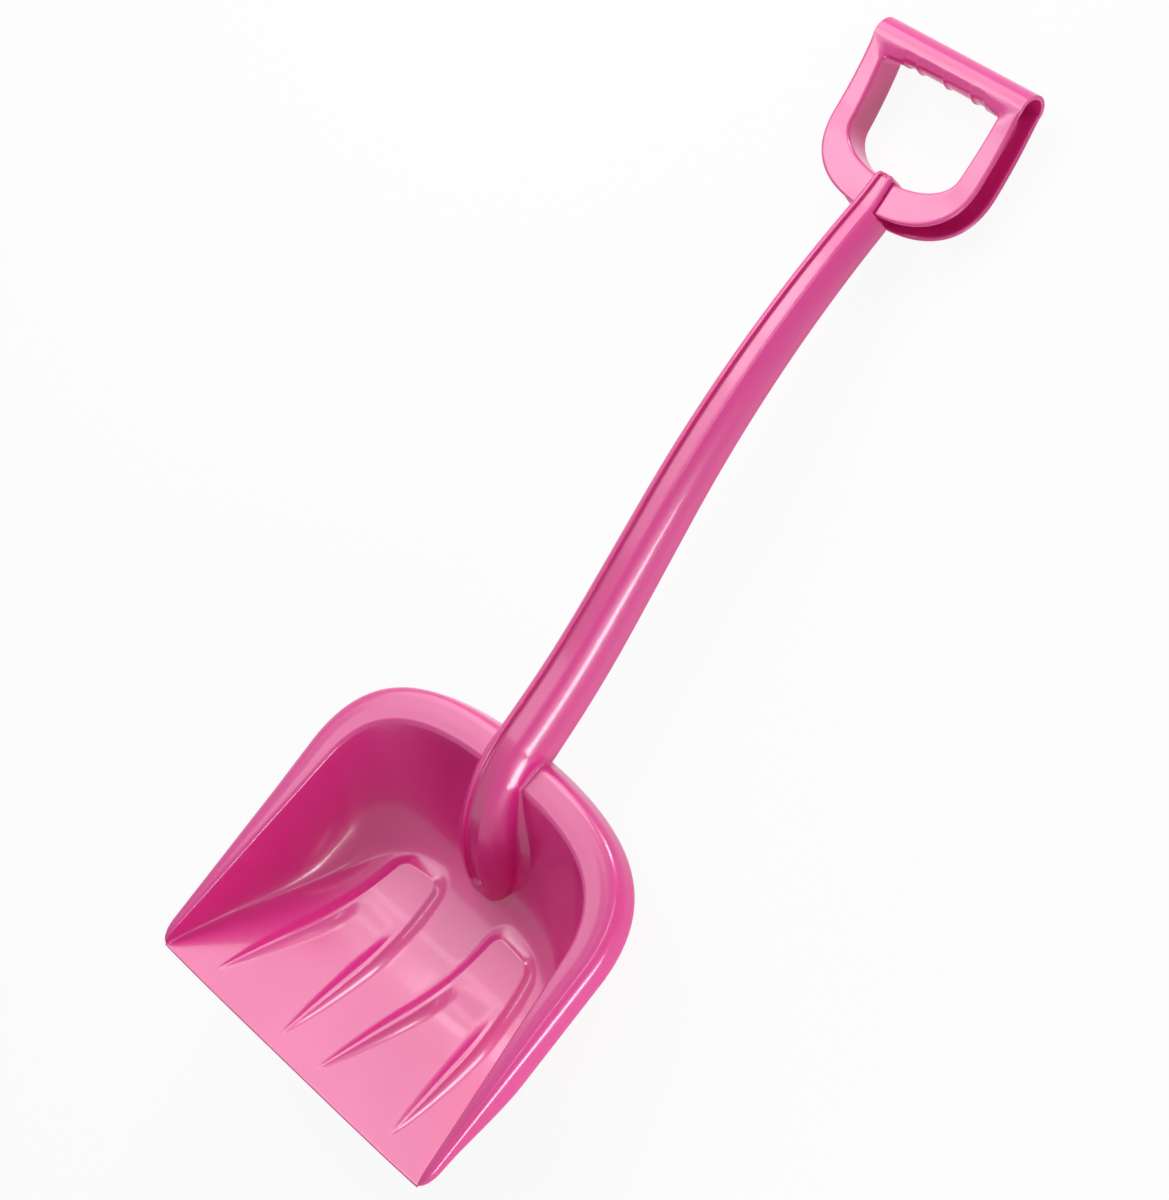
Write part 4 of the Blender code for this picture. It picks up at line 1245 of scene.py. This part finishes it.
def half_turn():
    """Cosine and sine at each step of half a turn, exactly zero where they should be."""
    for step in range(FLANGE_STEPS + 1):
        turn = math.pi * step / FLANGE_STEPS
        cosine = 0 if 2 * step == FLANGE_STEPS else math.cos(turn)
        sine = 0 if step in (0, FLANGE_STEPS) else math.sin(turn)
        yield cosine, sine


def handle_point(x, along, out):
    """Point of the bent handle."""
    y, z = handle_place(along, out)
    return np.array([x, y, z])


def flange_box(width, depth, corner):
    """Distances out of the face and in from the edge, round a box with rounded corners at the hole."""
    face = [(depth, inward) for inward in np.linspace(0, width - corner, FACE_STEPS + 1)]
    turns = np.linspace(0, math.pi / 2, ROUND_STEPS + 1)[1:]
    bend = [(depth - corner + corner * math.cos(t), width - corner + corner * math.sin(t)) for t in turns]
    side = [(out, width) for out in np.linspace(depth - corner, 0, SIDE_STEPS + 1)[1:]]
    front = face + bend + side
    return front + [(-out, inward) for out, inward in front[-2::-1]]


def channel(inner, outer, flat, wall, edge):
    """Points round one side of the channel section, from front edge to rear edge by way of the hole."""
    inner, outer = np.asarray(inner), np.asarray(outer)
    full = np.linalg.norm(outer - inner)
    width = full - wall - edge
    depth = HANDLE_HALF_DEPTH - wall
    box = flange_box(width, depth, max(FLANGE_CORNER - wall, LINING_CORNER))
    points = []
    for (cosine, sine), (out, inward) in zip(half_turn(), box):
        out = blend(depth * cosine, out, flat)
        inward = blend(width * sine, inward, flat)
        x, along = blend(outer, inner, (edge + inward) / full)
        points.append(handle_point(x, along, out))
    return points


def arch(outer, wall):
    """Points of the grip's upper half, from front edge to rear edge over the top."""
    points = []
    for cosine, sine in half_turn():
        rise = (GRIP_RADIUS - wall) * sine
        out = (HANDLE_HALF_DEPTH - wall) * cosine
        points.append(handle_point(outer[0], outer[1] + rise, out))
    return points


def add_grip_top(shell, stations):
    """Upper half of the grip, outside and inside, and the edge between them at its end."""
    over, under = ([arch(outer, wall) for _, outer, _, _ in stations] for wall in (0, HANDLE_WALL))
    shell.add(over)
    shell.add(under)
    shell.add([over[-1], under[-1]])


def groove_tree(material):
    """Geometry nodes that press the finger grooves into the underside of the grip."""
    inputs = ("Spacing", "Ridge", "End", "Depth")
    tree, (shape, spacing, ridge, end, depth) = open_tree("finger_grooves", inputs)
    x, under = (tree.attribute(name) for name in ("grip_x", "grip_under"))
    nearest = x.math("ROUND", x / spacing).low(1)
    away = x.math("ABSOLUTE", x - nearest * spacing)
    press = depth * away.ramp(0, ridge) * (1 - x.ramp(end - 2 * ridge, end)) * under
    return close_tree(tree, shape, 0 - press, material)


def make_handle(settings):
    """Channel all round the hand hole, tubular grip with finger grooves, and tongue."""
    sizes = settings.handle
    stations = loop_stations()
    tops = [station for station in stations if station[-1]]
    free = len(tops) - 1
    grown = clamp((np.arange(len(stations)) - free) / EDGE_STEPS)
    edges = grown * HANDLE_WALL / 2
    skin = np.array([channel(*shape, 0, edge) for (*shape, _), edge in zip(stations, edges)])
    lining = np.array([channel(*shape, HANDLE_WALL, edge) for (*shape, _), edge in zip(stations, edges)])
    shell = Shell(("grip_x", "grip_under"))
    depth = np.array([sine for _, sine in half_turn()])
    straight = np.array([flat == 0 for _, _, flat, _ in stations], float)
    shell.add(skin, grip_x=np.abs(skin[..., 0]), grip_under=straight[:, None] * depth)
    shell.add(lining)
    add_grip_top(shell, tops)
    outward = [handle_point(*outer, 0) - handle_point(*inner, 0) for inner, outer, _, _ in stations]
    outward = unit(np.array(outward)) * grown[:, None]
    for edge in (0, -1):
        shell.add(rounded_edge(skin[free:, edge], lining[free:, edge], outward[free:]))
    add_plug(shell, tongue_stations(settings.shaft))
    handle = shell.finish("moulded_d_handle")
    material = moulded_plastic("d_handle", settings.plastic)
    values = {
        "Spacing": sizes.ridge_spacing,
        "Ridge": sizes.ridge_half,
        "End": sizes.groove_end,
        "Depth": sizes.groove_depth,
    }
    apply_nodes(handle, groove_tree(material), values)
    dress(handle, "d_handle")


# Stage

# Name, place and aim in the blade frame, and length and width of each softbox
LIGHTS = (
    ("key", (-0.99, 0.28, 1.385), (0, 0.22, 0.08), 1.27, 0.97),
    ("front", (-0.63, -0.34, 0.86), (0, 0.15, 0.08), 0.45, 0.4),
    ("handle", (-0.32, 0.14, 0.7), (0, 0.45, 0.35), 0.22, 0.22),
    ("top", (0.27, -0.4, 1.27), (0, 0.2, 0.1), 0.9, 0.05),
    ("back", (-0.1, 0.84, 1.74), (0, 0.08, 0), 0.6, 0.3),
    ("side", (0.9, 0.06, 0.06), (0, 0.2, 0.2), 0.8, 0.18),
)


def shown(tree):
    """1 for rays from the camera and for reflected or refracted rays, 0 for the rest."""
    path = tree.nodes.nodes.new("ShaderNodeLightPath")
    camera, glossy, clear = (
        Socket(tree, path.outputs[name]) for name in ("Is Camera Ray", "Is Glossy Ray", "Is Transmission Ray")
    )
    return camera.high(glossy).high(clear)


def make_floor(look):
    """White floor that shows mostly plain white and keeps a soft shadow."""
    mesh = bmesh.new()
    bmesh.ops.create_grid(mesh, x_segments=FLOOR_CELLS, y_segments=FLOOR_CELLS, size=FLOOR_HALF)
    data = bpy.data.meshes.new("floor")
    mesh.to_mesh(data)
    mesh.free()
    floor = add_object("floor", data)
    floor.location.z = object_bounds()[0].z - FLOOR_SINK
    material = bpy.data.materials.new("studio_floor")
    tree = fresh_tree(material)
    seen = shown(tree) * look.floor_white
    matt = tree.add("ShaderNodeBsdfDiffuse", None, {"Color": tuple(look.floor)})
    white = tree.add("ShaderNodeEmission", None, {"Color": WHITE, "Strength": 1})
    surface = tree.add("ShaderNodeMixShader", None, {0: seen, 1: matt, 2: white})
    tree.add("ShaderNodeOutputMaterial", None, {"Surface": surface})
    data.materials.append(material)
    floor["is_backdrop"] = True


def make_world(look):
    """Even white light from all round, seen as plain white by the camera and in reflections."""
    world = bpy.data.worlds.new("studio")
    bpy.context.scene.world = world
    tree = fresh_tree(world)
    strength = shown(tree) * (1 - look.ambient) + look.ambient
    sky = tree.add("ShaderNodeBackground", None, {"Color": WHITE, "Strength": strength})
    tree.add("ShaderNodeOutputWorld", None, {"Surface": sky})


def place_in_blade(thing, place, axes):
    """Puts an object at a place of the blade frame, with its own axes in these directions."""
    turn = Matrix(axes).transposed().to_4x4()
    thing.matrix_world = BLADE_TO_MODEL @ Matrix.Translation(place) @ turn


def make_lights(look):
    """Softboxes that run along the shovel and face it."""
    for name, place, aim, long_side, short_side in LIGHTS:
        data = bpy.data.lights.new(name, "AREA")
        data.shape = "RECTANGLE"
        data.size = long_side
        data.size_y = short_side
        data.energy = getattr(look, name)
        back = (Vector(place) - Vector(aim)).normalized()
        along = Vector((0, 1, 0))
        along = (along - back * along.dot(back)).normalized()
        place_in_blade(add_object(name, data), place, (along, back.cross(along), back))


def make_camera():
    """Camera at the place from which the photograph was taken."""
    data = bpy.data.cameras.new("camera")
    data.sensor_width = SENSOR
    data.lens = PHOTO_FOCAL_PIXELS / max(PHOTO_SIZE) * SENSOR
    camera = add_object("camera", data)
    place_in_blade(camera, CAMERA_PLACE, (CAMERA_RIGHT, -Vector(CAMERA_DOWN), -Vector(CAMERA_FORWARD)))
    bpy.context.scene.camera = camera


# Operators


class SHOVEL_OT_scoop(bpy.types.Operator):
    """Make the scoop with its rounded rim, ribs and tang"""

    bl_idname = "snow_shovel.scoop"
    bl_label = "Make Scoop"

    def execute(self, context):
        make_scoop(context.scene.snow_shovel)
        return {"FINISHED"}


class SHOVEL_OT_shaft(bpy.types.Operator):
    """Make the channel shaft from the nose to the hook"""

    bl_idname = "snow_shovel.shaft"
    bl_label = "Make Shaft"

    def execute(self, context):
        make_shaft(context.scene.snow_shovel)
        return {"FINISHED"}


class SHOVEL_OT_handle(bpy.types.Operator):
    """Make the D-handle with its grip and finger grooves"""

    bl_idname = "snow_shovel.handle"
    bl_label = "Make D-Handle"

    def execute(self, context):
        make_handle(context.scene.snow_shovel)
        return {"FINISHED"}


class SHOVEL_OT_stage(bpy.types.Operator):
    """Make the floor, the lights and the camera"""

    bl_idname = "snow_shovel.stage"
    bl_label = "Make Stage"

    def execute(self, context):
        look = context.scene.snow_shovel.studio
        make_floor(look)
        make_world(look)
        make_lights(look)
        make_camera()
        context.scene.view_settings.view_transform = "Standard"
        return {"FINISHED"}


class SHOVEL_PT_panel(bpy.types.Panel):
    """Sidebar panel with the shovel's settings and steps"""

    bl_idname = "SHOVEL_PT_panel"
    bl_label = "Snow Shovel"
    bl_space_type = "VIEW_3D"
    bl_region_type = "UI"
    bl_category = "Shovel"

    def draw(self, context):
        settings = context.scene.snow_shovel
        for group in (settings.scoop, settings.shaft, settings.handle, settings.plastic, settings.studio):
            box = self.layout.box()
            for name in group.__annotations__:
                box.prop(group, name)
        for operator in OPERATORS:
            self.layout.operator(operator.bl_idname)


OPERATORS = (SHOVEL_OT_scoop, SHOVEL_OT_shaft, SHOVEL_OT_handle, SHOVEL_OT_stage)
GROUPS = (ScoopSizes, ShaftSizes, HandleSizes, PlasticLook, StudioLook, ShovelSettings)
CLASSES = GROUPS + OPERATORS + (SHOVEL_PT_panel,)


def register():
    """Registers the classes and puts the settings on the scene."""
    for made in CLASSES:
        bpy.utils.register_class(made)
    bpy.types.Scene.snow_shovel = bpy.props.PointerProperty(type=ShovelSettings)


def unregister():
    """Takes the settings and the classes away again."""
    del bpy.types.Scene.snow_shovel
    for made in reversed(CLASSES):
        bpy.utils.unregister_class(made)


def main():
    """Makes the pieces and the stage."""
    register()
    bpy.ops.snow_shovel.scoop()
    bpy.ops.snow_shovel.shaft()
    bpy.ops.snow_shovel.handle()
    bpy.ops.snow_shovel.stage()


if __name__ == "__main__":
    main()
